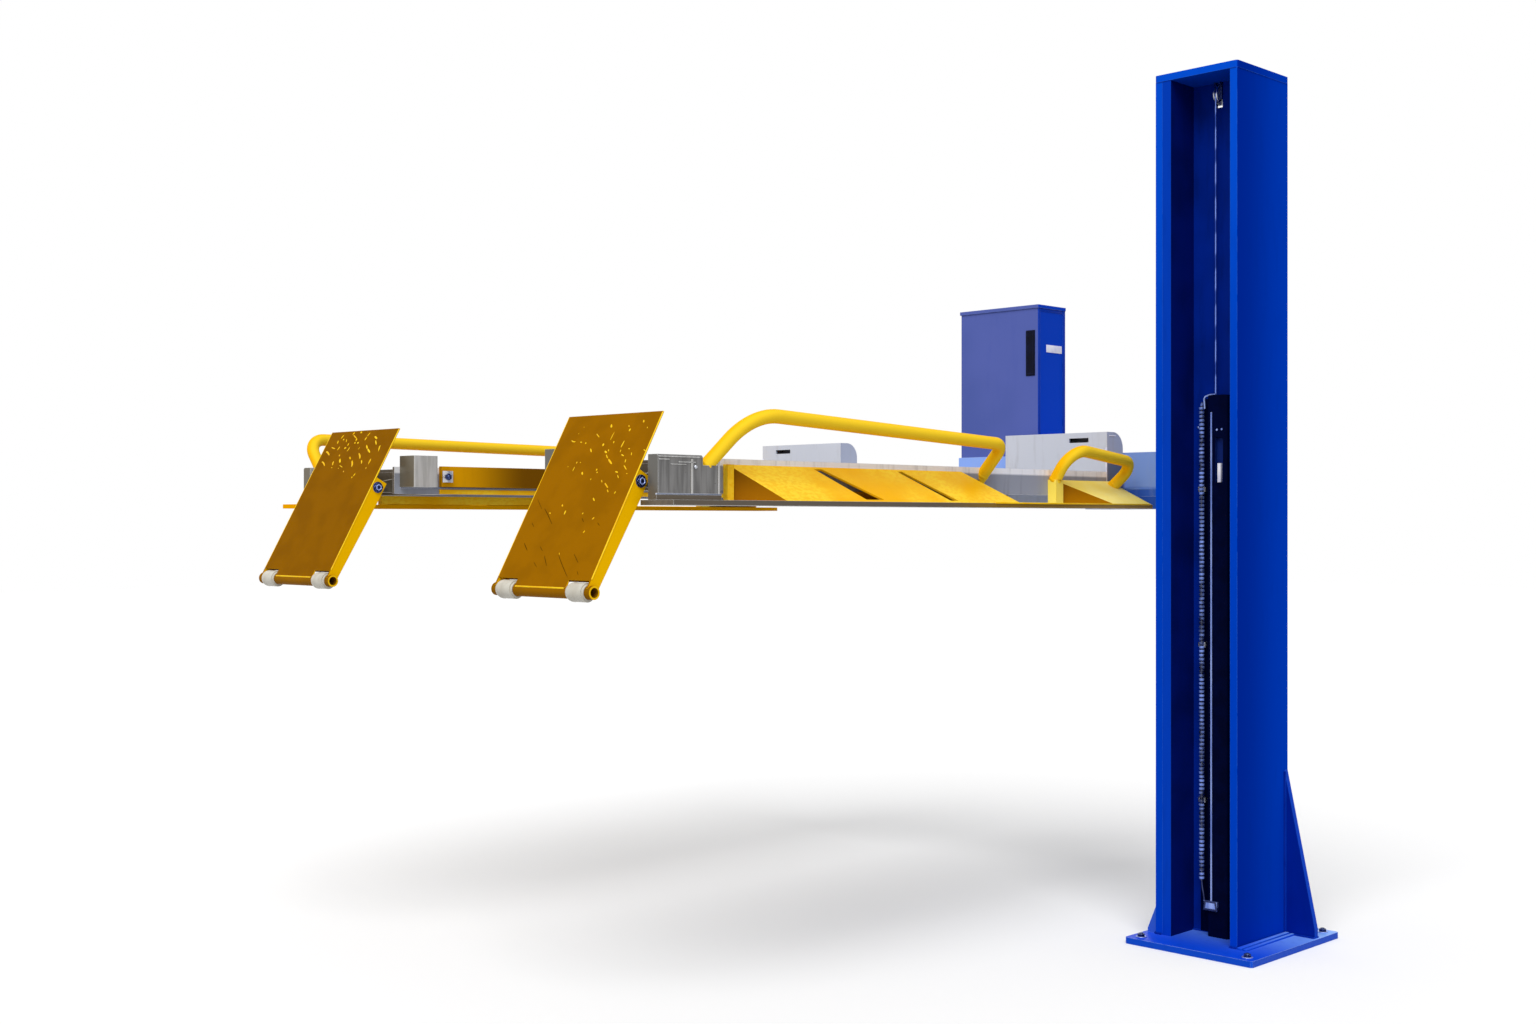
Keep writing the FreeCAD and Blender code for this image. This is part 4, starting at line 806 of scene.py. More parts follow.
def shown_to(
    tree: bpy.types.NodeTree, rays: Sequence[str], hidden: bpy.types.Node, shown: bpy.types.Node,
) -> Socket:
    """Shows one shader to some rays and another to all the rest.

    Args:
        tree: the tree that gets the nodes.
        rays: the light path's outputs for the rays that see the shown shader.
        hidden: the shader of all other rays.
        shown: the shader of the named rays.

    Returns:
        The mixed shader.
    """
    path = add_node(tree, "ShaderNodeLightPath")
    seen = path.outputs[rays[0]]
    for name in rays[1:]:
        either = add_node(
            tree, "ShaderNodeMath", {0: seen, 1: path.outputs[name]}, operation="MAXIMUM")
        seen = either.outputs[0]
    mixed = add_node(
        tree, "ShaderNodeMixShader", {0: seen, 1: hidden.outputs[0], 2: shown.outputs[0]})
    return mixed.outputs[0]


@dataclass
class Studio:
    """Pale floor, soft lights and the camera of the photograph."""

    focal_mm: float = 41.34
    sensor_mm: float = 36.0
    shift_y: float = 0.0053
    floor_m: float = 60.0
    floor_dull: Colour = (0.55, 0.55, 0.56, 1.0)
    sky: float = 0.5
    key: float = 2.27
    key_turn_deg: Point = (40.3, 0.0, -59.0)
    key_soft_deg: float = 44.0

    def camera(self) -> None:
        """Sets the camera level, at 45 degrees to the post."""
        data = bpy.data.cameras.new("camera")
        data.lens = self.focal_mm
        data.sensor_width = self.sensor_mm
        data.shift_y = self.shift_y
        data.clip_end = 200.0
        camera = bpy.data.objects.new("camera", data)
        camera.location = CAMERA_PLACE
        camera.rotation_euler = (math.radians(90), 0.0, math.radians(-45))
        bpy.context.scene.collection.objects.link(camera)
        bpy.context.scene.camera = camera

    def lights(self) -> None:
        """Adds the soft key light and an even white sky."""
        data = bpy.data.lights.new("key", "SUN")
        data.energy = self.key
        data.angle = math.radians(self.key_soft_deg)
        lamp = bpy.data.objects.new("key", data)
        lamp.rotation_euler = [math.radians(a) for a in self.key_turn_deg]
        bpy.context.scene.collection.objects.link(lamp)
        world = bpy.data.worlds.new("white_sky")
        world.use_nodes = True
        tree = world.node_tree
        tree.nodes.clear()
        dim = add_node(tree, "ShaderNodeBackground", {"Color": (1, 1, 1, 1), "Strength": self.sky})
        white = add_node(tree, "ShaderNodeBackground", {"Color": (1, 1, 1, 1), "Strength": 1.0})
        rays = ("Is Camera Ray", "Is Transmission Ray", "Is Glossy Ray")
        add_node(tree, "ShaderNodeOutputWorld", {"Surface": shown_to(tree, rays, dim, white)})
        bpy.context.scene.world = world
        bpy.context.scene.view_settings.view_transform = "Standard"

    def floor(self) -> None:
        """Lays a floor that looks white and throws back little light."""
        bpy.ops.object.select_all(action="DESELECT")
        bpy.ops.mesh.primitive_plane_add(size=self.floor_m, location=(0, 0, -0.0005))
        floor = applied(bpy.context.object)
        floor.name = "studio_floor"
        material = bpy.data.materials.new("pale_floor")
        material.use_nodes = True
        tree = material.node_tree
        tree.nodes.clear()
        pale = add_node(tree, "ShaderNodeBsdfDiffuse", {"Color": (1, 1, 1, 1)})
        dull = add_node(tree, "ShaderNodeBsdfDiffuse", {"Color": self.floor_dull})
        rays = ("Is Camera Ray", "Is Glossy Ray")
        add_node(tree, "ShaderNodeOutputMaterial", {"Surface": shown_to(tree, rays, dull, pale)})
        floor.data.materials.append(material)

    def build(self, paint: Paintwork) -> str:
        """Builds the studio."""
        self.camera()
        self.lights()
        self.floor()
        return "studio"


@dataclass
class Foot:
    """Base plate, its floor bolts and the post's foot welds."""

    plate_top: float = 20.0
    bolt_middle: tuple[float, float] = (7.0, -34.0)
    bolt_spacing: tuple[float, float] = (471.0, 376.0)
    washer_radius: float = 17.0
    washer_height: float = 2.6
    nut_across: float = 22.0
    nut_height: float = 8.0
    stud_radius: float = 7.0
    stud_top: float = 13.0
    bead: float = 5.0
    ridge_steps: tuple[Point, ...] = ((-166.0, -150.0, 8.0), (-183.0, -170.0, 6.0))
    ridge_x: tuple[float, float] = (-166.0, 134.0)

    def bolts(self, paint: Paintwork) -> None:
        """Models the floor bolts and their washers at the plate's four holes."""
        thread = [(self.stud_radius, self.washer_height + self.nut_height - 1)]
        height = thread[0][1]
        while height < self.stud_top - 2:
            thread += [(self.stud_radius - 0.9, height + 1.2), (self.stud_radius, height + 2.4)]
            height += 2.4
        thread.append((self.stud_radius * 0.8, height + 1.5))
        washers, nuts = [], []
        for sx, sy in ((-1, -1), (1, -1), (1, 1), (-1, 1)):
            x = self.bolt_middle[0] + sx * self.bolt_spacing[0] / 2
            y = self.bolt_middle[1] + sy * self.bolt_spacing[1] / 2
            base = (x, y, self.plate_top)
            seat = (x, y, self.plate_top + self.washer_height)
            washers.append(turned(
                "washer", [(self.washer_radius - 0.6, 0), (self.washer_radius, 0.8),
                           (self.washer_radius, self.washer_height - 0.8),
                           (self.washer_radius - 0.8, self.washer_height)], base, Z_AXIS))
            nuts.append(turned("nut", hex_profile(self.nut_across, self.nut_height, 1.4), seat, Z_AXIS, 6))
            nuts.append(turned("stud", thread, base, Z_AXIS, 20))
        # The washers take the pale pipe steel as painted glints beside the dark nuts.
        fitted(joined("floor_washers", washers), Body.POST, Slot.STEEL, paint.pipe)
        fitted(joined("floor_bolts", nuts), Body.POST, Slot.STEEL, paint.blued)

    def welds(self, paint: Paintwork) -> None:
        """Runs weld beads round the post's foot and the gussets."""
        z = self.plate_top + 1
        runs = (
            [(-158, -146, z), (-158, -121, z)],
            [(-156, -148, z), (136, -148, z)],
            [(-156, 148, z), (156, 148, z)],
            [(-21, -120, z), (-21, 120, z)],
            [(135, -251, z), (135, -149, z)],
            [(158, -251, z), (158, -149, z)],
            [(135, -148, 26), (135, -148, 540)],
            [(-158, 121, z), (-158, 146, z)])
        beads = []
        for start, end in runs:
            middle = tuple((a + b) / 2 for a, b in zip(start, end))
            beads.append((self.bead, [start, middle, end]))
        fitted(rods("post_foot_welds", beads, 8), Body.POST, Slot.BLUE, paint.gusset)

    def ridges(self, paint: Paintwork) -> None:
        """Lays the two low ridges on the plate along the post's outer side."""
        x0, x1 = self.ridge_x
        steps = []
        for y0, y1, height in self.ridge_steps:
            top = self.plate_top + height
            steps.append(block("ridge", (x0, y0, self.plate_top - 3), (x1, y1, top), height * 0.45, 3))
        fitted(joined("foot_ridges", steps), Body.POST, Slot.BLUE, paint.base)

    def build(self, paint: Paintwork) -> str:
        """Builds and dresses the foot and the post's sections."""
        paint.dress("column", "post_outer_flange", "post_inner_flange", "post_cap")
        paint.dress("gusset", "rear_gusset")
        paint.dress("foot_gusset", "foot_gussets")
        paint.dress("channel", "post_web")
        paint.dress("liner", "post_channel_liner")
        paint.dress("base", "base_plate")
        self.bolts(paint)
        self.welds(paint)
        self.ridges(paint)
        return "post and foot"


@dataclass
class ServiceChannel:
    """Cover, conduit, pipe, hose and rope in the front channel."""

    conduit_x: float = -45.0
    conduit_y: float = 46.0
    conduit_low: float = 190.0
    conduit_high: float = 1722.0
    rib_pitch: float = 13.0
    rib_radius: float = 8.5
    groove_radius: float = 4.6
    hose_radius: float = 3.4
    cover_front: float = -70.0
    pocket_floor: float = -58.0
    pocket_y: tuple[float, float] = (-45.0, -19.0)
    pocket_z: tuple[float, float] = (1467.0, 1609.0)
    tag_y: tuple[float, float] = (-37.0, -25.5)
    tag_top: float = 1528.0
    screw_places: tuple[Point, ...] = (
        (-70.0, -41.0, 1635.0), (-70.0, -24.0, 1634.0), (-20.0, 74.0, 1647.0))
    screw_profile: Profile = ((3.6, 0), (3.8, 0.8), (3.2, 1.9), (1.8, 2.5))
    flange_strips: tuple[Box, ...] = (
        ((-25, 11, 22), (-21, 49, 1738)), ((-25, 48, 22), (-21, 62, 186)))
    union_low: Point = (-80.5, -30.5, 104.5)
    union_high: Point = (-70.0, 20.0, 135.5)

    def conduit(self, paint: Paintwork) -> None:
        """Models one rib of the corrugated conduit and repeats it up the channel."""
        pitch = self.rib_pitch
        rings = [
            (self.groove_radius, 0.0), (self.groove_radius, pitch * 0.22),
            (self.rib_radius - 0.3, pitch * 0.36), (self.rib_radius, pitch * 0.5),
            (self.rib_radius, pitch * 0.72), (self.rib_radius - 0.3, pitch * 0.86),
            (self.groove_radius, pitch)]
        base = (self.conduit_x, self.conduit_y, self.conduit_low)
        tube = turned("corrugated_conduit", rings, base, Z_AXIS, 16)
        ribs = tube.modifiers.new("ribs", "ARRAY")
        count = int((self.conduit_high - self.conduit_low) / pitch)
        ribs.count = count
        ribs.use_relative_offset = False
        ribs.use_constant_offset = True
        ribs.constant_offset_displace = (0, 0, pitch * MM)
        pick(tube)
        bpy.ops.object.modifier_apply(modifier="ribs")
        top = self.conduit_low + count * pitch
        x, y = self.conduit_x, self.conduit_y
        elbow = bent(
            "elbow", [(x, y, top - 2), (x, y, top + 8), (x, y - 4, top + 13)], self.groove_radius, 16)
        piece = joined("corrugated_conduit", [tube, elbow])
        fitted(piece, Body.POST, Slot.BLACK, paint.conduit, 50)
        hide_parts("conduit")

    def hose(self, paint: Paintwork) -> None:
        """Bends the hose over the cover's top, pale as a painted highlight, and the conduit's thin tail to
        the union.
        """
        x, y = self.conduit_x, self.conduit_y
        over = [
            (x, -4, 1749), (x, 8, 1749), (x, 24, 1747), (x - 2, 36, 1741),
            (x - 3, 35, 1728), (x - 3, 33, 1704)]
        fitted(bent("cover_hose", over, self.hose_radius), Body.POST, Slot.BLACK, paint.pipe, 60)
        tail = [(x, y, 196), (x - 2, y - 2, 172), (x - 12, 32, 150), (x - 29, 19, 132)]
        fitted(bent("conduit_tail", tail, 3.0), Body.POST, Slot.BLACK, paint.union, 60)

    def window(self, paint: Paintwork) -> None:
        """Lines the cover's pocket and stands the blank tag plate in it."""
        x0, x1 = self.cover_front, self.pocket_floor
        y0, y1 = self.pocket_y
        z0, z1 = self.pocket_z
        tray = [
            block("tray", (x1 - 1, y0, z0), (x1, y1, z1), 0.3, 1),
            block("tray", (x0 + 0.5, y1 - 0.8, z0), (x1, y1, z1), 0.3, 1)]
        fitted(joined("window_tray", tray), Body.POST, Slot.BLACK, paint.window)
        tag = block("window_tag", (x0, self.tag_y[0], z0), (x1 - 1, self.tag_y[1], self.tag_top), 0.8)
        fitted(tag, Body.POST, Slot.WHITE, paint.plate)

    def screws(self, paint: Paintwork) -> None:
        """Sets the cover's two small screws and the one beside the conduit."""
        heads = [
            turned("screw", self.screw_profile, base, -X_AXIS, 16) for base in self.screw_places]
        fitted(joined("cover_screws", heads), Body.POST, Slot.STEEL, paint.pipe, 50)

    def flange(self, paint: Paintwork) -> None:
        """Adds the cover's thin edge flange on the web, wider below the conduit's end."""
        strips = [block("flange", low, high, 1.0) for low, high in self.flange_strips]
        fitted(joined("cover_flange", strips), Body.POST, Slot.BLACK, paint.cover)

    def union(self, paint: Paintwork) -> None:
        """Shapes the union block, narrower at its top, with a framed front."""
        piece = block("pipe_union", self.union_low, self.union_high, 1.2)
        with editing(piece):
            mesh = bmesh.from_edit_mesh(piece.data)
            front = [f for f in mesh.faces if f.normal.x < -0.99]
            largest = max(front, key=lambda f: f.calc_area())
            for face in mesh.faces:
                face.select_set(face is largest)
            bmesh.update_edit_mesh(piece.data)
            bpy.ops.mesh.inset(thickness=0.005, depth=0)
            bpy.ops.mesh.inset(thickness=0.001, depth=-0.003)
            middle = (self.union_low[2] + self.union_high[2]) / 2 * MM
            for vertex in mesh.verts:
                vertex.select_set(vertex.co.z > middle)
            mesh.select_flush_mode()
            bmesh.update_edit_mesh(piece.data)
            bpy.ops.transform.resize(value=(1, 0.82, 1))
        fitted(piece, Body.POST, Slot.STEEL, paint.union)

    def build(self, paint: Paintwork) -> str:
        """Builds and dresses the channel's parts."""
        paint.dress("cover", "cylinder_cover")
        paint.dress("rope", "lift_rope")
        paint.dress("bright", "rope_pulley", "conduit_clips")
        paint.dress("blued", "pulley_bracket", "rope_anchor")
        paint.dress("pipe", "oil_pipe")
        self.conduit(paint)
        self.hose(paint)
        self.window(paint)
        self.screws(paint)
        self.flange(paint)
        self.union(paint)
        return "service channel"


@dataclass
class Carrier:
    """Carriage, lift arm and cross beam."""

    plate_rear: float = 185.0
    bolt_across: float = 24.0
    bolt_height: float = 10.0
    bolt_z: tuple[float, ...] = (1650.0, 1850.0, 2140.0)
    bolt_y: tuple[float, ...] = (-85.0, 85.0)
    washer_profile: Profile = ((15, 0), (15.5, 0.8), (15.5, 2.2), (15, 3))
    beam_strips: tuple[Box, ...] = (
        ((133.5, 529, 1440), (137, 536, 1600)), ((150, 528.5, 1640), (190, 531, 1644)))
    arm_step: Box = ((182.5, 260, 1453), (186, 1000, 1458))

    def bolts(self, paint: Paintwork) -> None:
        """Bolts the carriage's back plate."""
        heads = []
        for z in self.bolt_z:
            for y in self.bolt_y:
                base = (self.plate_rear, y, z)
                seat = (self.plate_rear + self.washer_profile[-1][1], y, z)
                heads.append(turned("washer", self.washer_profile, base, X_AXIS))
                profile = hex_profile(self.bolt_across, self.bolt_height)
                heads.append(turned("head", profile, seat, X_AXIS, 6))
        fitted(joined("carriage_bolts", heads), Body.PLATFORM, Slot.STEEL, paint.bright)

    def lines(self, paint: Paintwork) -> None:
        """Adds the white edge strips of the beam's raised ends as painted highlights, and the arm's step.
        """
        strips = []
        for side in Side:
            for low, high in self.beam_strips:
                y0, y1 = sorted((side.y(low[1]), side.y(high[1])))
                strips.append(block("strip", (low[0], y0, low[2]), (high[0], y1, high[2]), 1.0))
        fitted(joined("beam_edge_strips", strips), Body.PLATFORM, Slot.GREY, paint.plate)
        step = block("arm_step", *self.arm_step, 1.4)
        fitted(step, Body.PLATFORM, Slot.BLUE, paint.arm)

    def build(self, paint: Paintwork) -> str:
        """Builds and dresses the carrier."""
        paint.dress("column", "carriage", "arm_ribs")
        paint.dress("shelf", "arm_shelf")
        paint.dress("arm", "lift_arm")
        paint.dress("beam", "cross_beam")
        paint.dress("bright", "guide_rollers", "guide_pins")
        self.bolts(paint)
        self.lines(paint)
        return "carriage and beam"


@dataclass
class Cabinet:
    """Control cabinet on the beam's arm."""

    low: Point = (250.0, 908.0, 1585.0)
    high: Point = (418.0, 1270.0, 2129.0)
    frame_width: float = 12.0
    frame_proud: float = 1.6
    blank_x: tuple[float, float] = (300.0, 396.0)
    blank_z: tuple[float, float] = (1968.0, 1996.0)
    blank_proud: float = 1.8
    recess_y: tuple[float, float] = (921.0, 962.0)
    recess_z: tuple[float, float] = (1880.0, 2048.0)
    recess_proud: float = 3.0
    hinge_places: tuple[Point, ...] = ((424.0, 1262.0, 1720.0), (424.0, 1262.0, 1994.0))
    hinge_profile: Profile = (
        (5.2, 0), (6, 1), (6, 21), (5.2, 22), (5.2, 23), (6, 24), (6, 45), (5.2, 46))
    lock_place: Point = (426.0, 950.0, 1860.0)
    lock_profile: Profile = ((13, 0), (14, 1), (14, 5), (11, 7), (6, 7), (6, 9))
    lock_bar: Box = ((434.0, 940.0, 1857.0), (437.0, 960.0, 1863.0))

    def frame(self, paint: Paintwork) -> None:
        """Raises the folded rim round the cabinet's outer side."""
        x0, y, z0 = self.low
        x1, _, z1 = self.high
        w = self.frame_width
        proud = (y - self.frame_proud, y)
        strips = [
            block("rim", (x0, proud[0], z0), (x0 + w, proud[1], z1), 0.7),
            block("rim", (x1 - w * 1.5, proud[0], z0), (x1, proud[1], z1), 0.7),
            block("rim", (x0 + w, proud[0], z1 - w), (x1 - w * 1.5, proud[1], z1), 0.7),
            block("rim", (x0 + w, proud[0], z0), (x1 - w * 1.5, proud[1], z0 + w), 0.7)]
        fitted(joined("cabinet_rim", strips), Body.PLATFORM, Slot.BLUE, paint.cabinet_dark)

    def plate(self, paint: Paintwork) -> None:
        """Fixes the blank plate on the outer side."""
        y = self.low[1]
        x0, x1 = self.blank_x
        z0, z1 = self.blank_z
        piece = block("cabinet_blank_plate", (x0, y - self.blank_proud, z0), (x1, y, z1), 0.7)
        fitted(piece, Body.PLATFORM, Slot.WHITE, paint.plate)

    def recess(self, paint: Paintwork) -> None:
        """Sets the dark grip recess in the front face, its near-black colour painted shade."""
        x = self.low[0]
        y0, y1 = self.recess_y
        z0, z1 = self.recess_z
        rim = block("recess", (x - self.recess_proud, y0, z0), (x, y1, z1), 2.0, 3)
        with editing(rim):
            mesh = bmesh.from_edit_mesh(rim.data)
            for face in mesh.faces:
                face.select_set(face.normal.x < -0.99 and face.calc_area() > 0.0005)
            bmesh.update_edit_mesh(rim.data)
            bpy.ops.mesh.inset(thickness=0.006, depth=0)
            bpy.ops.mesh.inset(thickness=0.002, depth=-0.002)
        fitted(rim, Body.PLATFORM, Slot.BLACK, paint.recess)

    def door(self, paint: Paintwork) -> None:
        """Adds hinges and a quarter-turn lock to the rear door."""
        parts = [
            turned("hinge", self.hinge_profile, place, Z_AXIS, 16) for place in self.hinge_places]
        parts.append(turned("lock", self.lock_profile, self.lock_place, X_AXIS))
        parts.append(block("lock_bar", *self.lock_bar, 0.8))
        fitted(joined("cabinet_hardware", parts), Body.PLATFORM, Slot.STEEL, paint.bright)

    def build(self, paint: Paintwork) -> str:
        """Builds and dresses the cabinet."""
        paint.dress("cabinet", "cabinet_body", "cabinet_lid")
        paint.dress("cabinet_dark", "cabinet_door")
        self.frame(paint)
        self.plate(paint)
        self.recess(paint)
        self.door(paint)
        return "cabinet"


@dataclass
class Runway:
    """One runway: deck, skirts, guard tubes and front blocks."""

    side: Side
    deck_top: float = 1515.5
    lozenge: tuple[float, float, float] = (11.0, 3.2, 1.4)
    lozenge_pitch: float = 36.0
    deck_x: tuple[float, float] = (-1760.0, 118.0)
    deck_y: tuple[float, float] = (552.0, 948.0)
    ribs: tuple[tuple[float, float, float, float], ...] = (
        (-1978, -1832, 1513.5, 1516), (-1978, -1940, 1506, 1509), (-1908, -1846, 1500, 1502.5),
        (-1936, -1880, 1494, 1496), (-1864, -1856, 1404, 1510), (-1765, -1758, 1404, 1512))
    block_face: float = 490.0
    block_bolt: tuple[float, float] = (-1847.0, 1489.0)
    block_bolt_profile: Profile = ((5, 0), (5.6, 0.8), (5.6, 2.4), (4, 4.2))
    guard_feet: tuple[Box, ...] = (
        ((-1790, 510, 1494), (-1672, 450, 1638)), ((-562, 530, 1492), (-556, 450, 1587)),
        ((-192, 513, 1482), (-186, 450, 1586)), ((138, 505, 1466), (191, 450, 1544)))
    far_front_foot: Box = ((-1930, 510, 1520), (-1943, 450, 1619))
    weld_profile: Profile = ((17.0, -9), (20.5, -5), (21.2, 1), (19.4, 6), (17.1, 9))
    bar_face: float = 997.0
    bar_bolt_place: tuple[float, float] = (-1758.0, 1486.0)
    washer_box: tuple[float, float, float, float] = (-1778.0, -1738.0, 1468.0, 1505.0)
    washer_thick: float = 3.0
    stud_profile: Profile = ((5.0, 6), (5.0, 10), (4.2, 11))
    joint_face: float = 530.0
    joint_proud: float = 1.4
    joint_strips: tuple[tuple[float, float, float, float], ...] = (
        (-588, -584, 1414, 1484), (-598, -576, 1462, 1478))

    def tread(self, paint: Paintwork) -> None:
        """Raises the chequer pattern on the deck's top."""
        pitch = self.lozenge_pitch
        half, wide, tall = self.lozenge
        bars = []
        for turn, dx in ((1, 0.0), (-1, pitch / 2)):
            bpy.ops.object.select_all(action="DESELECT")
            x = self.deck_x[0] + half + dx
            lowest = self.deck_y[0] + half if self.side is Side.NEAR else self.deck_y[1] - half
            y = self.side.y(lowest)
            bpy.ops.mesh.primitive_cone_add(
                vertices=8, radius1=half * MM, radius2=half * 0.7 * MM, depth=tall * MM,
                location=(x * MM, y * MM, (self.deck_top + tall / 2 - 0.2) * MM),
                scale=(1, wide / half, 1), rotation=(0, 0, math.radians(45 * turn)))
            bar = applied(bpy.context.object)
            for axis, step, run in (
                    ("x", (pitch, 0, 0), self.deck_x[1] - self.deck_x[0] - pitch / 2),
                    ("y", (0, pitch / 2, 0), self.deck_y[1] - self.deck_y[0] - half)):
                row = bar.modifiers.new(axis, "ARRAY")
                row.count = int(run / max(step))
                row.use_relative_offset = False
                row.use_constant_offset = True
                row.constant_offset_displace = [c * MM for c in step]
                pick(bar)
                bpy.ops.object.modifier_apply(modifier=axis)
            bars.append(bar)
        piece = joined(f"{self.side.value}_deck_tread", bars)
        fitted(piece, Body.PLATFORM, Slot.GREY, paint.deck)

    def guard_welds(self, paint: Paintwork) -> None:
        """Lays a bead round each foot of both guard tubes."""
        side = self.side
        feet = list(self.guard_feet)
        if side is Side.FAR:
            feet[0] = self.far_front_foot
        rings = []
        for foot, next_bend in feet:
            place = Vector((foot[0], side.y(foot[1]), foot[2]))
            axis = (Vector((next_bend[0], side.y(next_bend[1]), next_bend[2])) - place).normalized()
            rings.append(turned("weld", self.weld_profile, tuple(place), axis, 24))
        fitted(joined(f"{side.value}_guard_welds", rings), Body.PLATFORM, Slot.YELLOW, paint.guard, 60)

    def block_trim(self, paint: Paintwork) -> None:
        """Adds the ribs and lifted edges, pale grey as painted highlights and a painted reflection streak,
        and the small bolt on the outer front block.
        """
        side = self.side
        y = side.y(self.block_face)
        outer = side.out()
        span = sorted((y + outer * 1.6, y - outer * 1.0))
        ribs = []
        for x0, x1, z0, z1 in self.ribs:
            ribs.append(block("rib", (x0, span[0], z0), (x1, span[1], z1), 0.7, 1))
        fitted(joined(f"{side.value}_block_ribs", ribs), Body.PLATFORM, Slot.GREY, paint.far_block)
        x, z = self.block_bolt
        head = turned("bolt", self.block_bolt_profile, (x, y, z), Y_AXIS * outer, 18)
        fitted(head, Body.PLATFORM, Slot.STEEL, paint.bright).name = f"{side.value}_block_bolt"

    def bar_bolt(self, paint: Paintwork) -> None:
        """Bolts the side bar's front end through a square washer."""
        y = self.side.y(self.bar_face)
        inward = -self.side.out()
        outer_y = y + inward * self.washer_thick
        span = sorted((y, outer_y))
        x0, x1, z0, z1 = self.washer_box
        plate = block("bar_washer", (x0, span[0], z0), (x1, span[1], z1), 1.2)
        fitted(plate, Body.PLATFORM, Slot.STEEL, paint.bright).name = f"{self.side.value}_bar_washer"
        seat = (self.bar_bolt_place[0], outer_y, self.bar_bolt_place[1])
        nut = turned("nut", hex_profile(20, 7, 1.2), seat, Y_AXIS * inward, 6)
        stud = turned("stud", self.stud_profile, seat, Y_AXIS * inward, 16)
        fitted(joined(f"{self.side.value}_bar_nut", [nut, stud]), Body.PLATFORM, Slot.STEEL, paint.blued)

    def joint(self, paint: Paintwork) -> None:
        """Marks the deck's rear joint by a cover strip and its small bracket."""
        side = self.side
        y = side.y(self.joint_face)
        y0, y1 = sorted((y, y + side.out() * self.joint_proud))
        strips = [
            block("strip", (x0, y0, z0), (x1, y1, z1), 0.6, 1) for x0, x1, z0, z1 in self.joint_strips]
        fitted(joined(f"{side.value}_joint_strip", strips), Body.PLATFORM, Slot.GREY, paint.ledge)

    def strip(
        self, name: str, low: Point, high: Point, bevel_mm: float, finish: bpy.types.Material,
        slot: Slot,
    ) -> None:
        """Lays one straight strip.

        Args:
            name: its name, without the side.
            low: its lowest corner on the near side, in millimetres.
            high: its highest corner there.
            bevel_mm: the rounding of its edges.
            finish: its material.
            slot: the record's slot that it stands for.
        """
        y0, y1 = sorted((self.side.y(low[1]), self.side.y(high[1])))
        piece = block(f"{self.side.value}_{name}", (low[0], y0, low[2]), (high[0], y1, high[2]), bevel_mm)
        fitted(piece, Body.PLATFORM, slot, finish)

    def strips(self, paint: Paintwork) -> None:
        """Lays the thin strips along the runway's edges."""
        self.strip("bar_foot", (-1772, 970, 1430.5), (130, 973, 1446), 0.8, paint.wedge, Slot.YELLOW)
        # The pale line in the beam's grey along the bar's foot is a painted highlight.
        self.strip("bar_line", (-1920, 970, 1448), (130, 974, 1453), 1.2, paint.beam, Slot.GREY)
        self.strip("wedge_back", (-1706, 528, 1401), (-560, 531, 1431), 0.8, paint.wedge, Slot.YELLOW)
        self.strip("block_foot", (-1990, 485, 1400), (-1755, 490, 1414), 1.0, paint.ledge, Slot.GREY)
        # The pale line in the beam's grey on top of the block's foot is a painted highlight.
        self.strip("block_foot_line", (-1990, 484, 1414), (-1755, 490, 1418), 1.2, paint.beam, Slot.GREY)
        self.strip("ledge_line", (-660, 396, 1398), (200, 401, 1403), 1.2, paint.stud, Slot.YELLOW)

    def build(self, paint: Paintwork) -> str:
        """Builds and dresses the runway."""
        tag = self.side.value
        paint.dress("deck", f"{tag}_runway_deck")
        paint.dress("sill", f"{tag}_pivot_sill")
        paint.dress("ledge" if self.side is Side.NEAR else "far_ledge", f"{tag}_runway_ledge")
        paint.dress(f"{tag}_block", f"{tag}_front_blocks")
        paint.dress("side_bar", f"{tag}_side_bar")
        paint.dress("wedge", f"{tag}_long_wedge")
        paint.dress("short_wedge", f"{tag}_short_wedge")
        paint.dress("guard", f"{tag}_long_guard", f"{tag}_short_guard")
        self.tread(paint)
        self.guard_welds(paint)
        self.block_trim(paint)
        self.bar_bolt(paint)
        self.joint(paint)
        self.strips(paint)
        return f"{tag} runway"


Mark = tuple


@dataclass(frozen=True)
class Crop:
    """An enlarged crop of the photo, seen through the camera that was fitted to it.

    The camera looks level, at 45 degrees to the post, so one sine serves for its heading.
    """

    left: float
    top: float
    zoom: float
    pixel_mm: float
    focal: float = 1764.0
    middle: float = 768.0
    horizon: float = 520.0

    def ray(self, x: float, y: float) -> Point:
        """Gives the view's direction through a pixel of the crop."""
        across = (self.left + x / self.zoom - self.middle) / self.focal
        above = (self.horizon - (self.top + y / self.zoom)) / self.focal
        sine = math.sqrt(0.5)
        return (sine * (1 + across), sine * (1 - across), above)

    def width(self, pixels: float) -> float:
        """Turns a mark's width to millimetres."""
        return round(pixels / self.zoom * self.pixel_mm, 1)


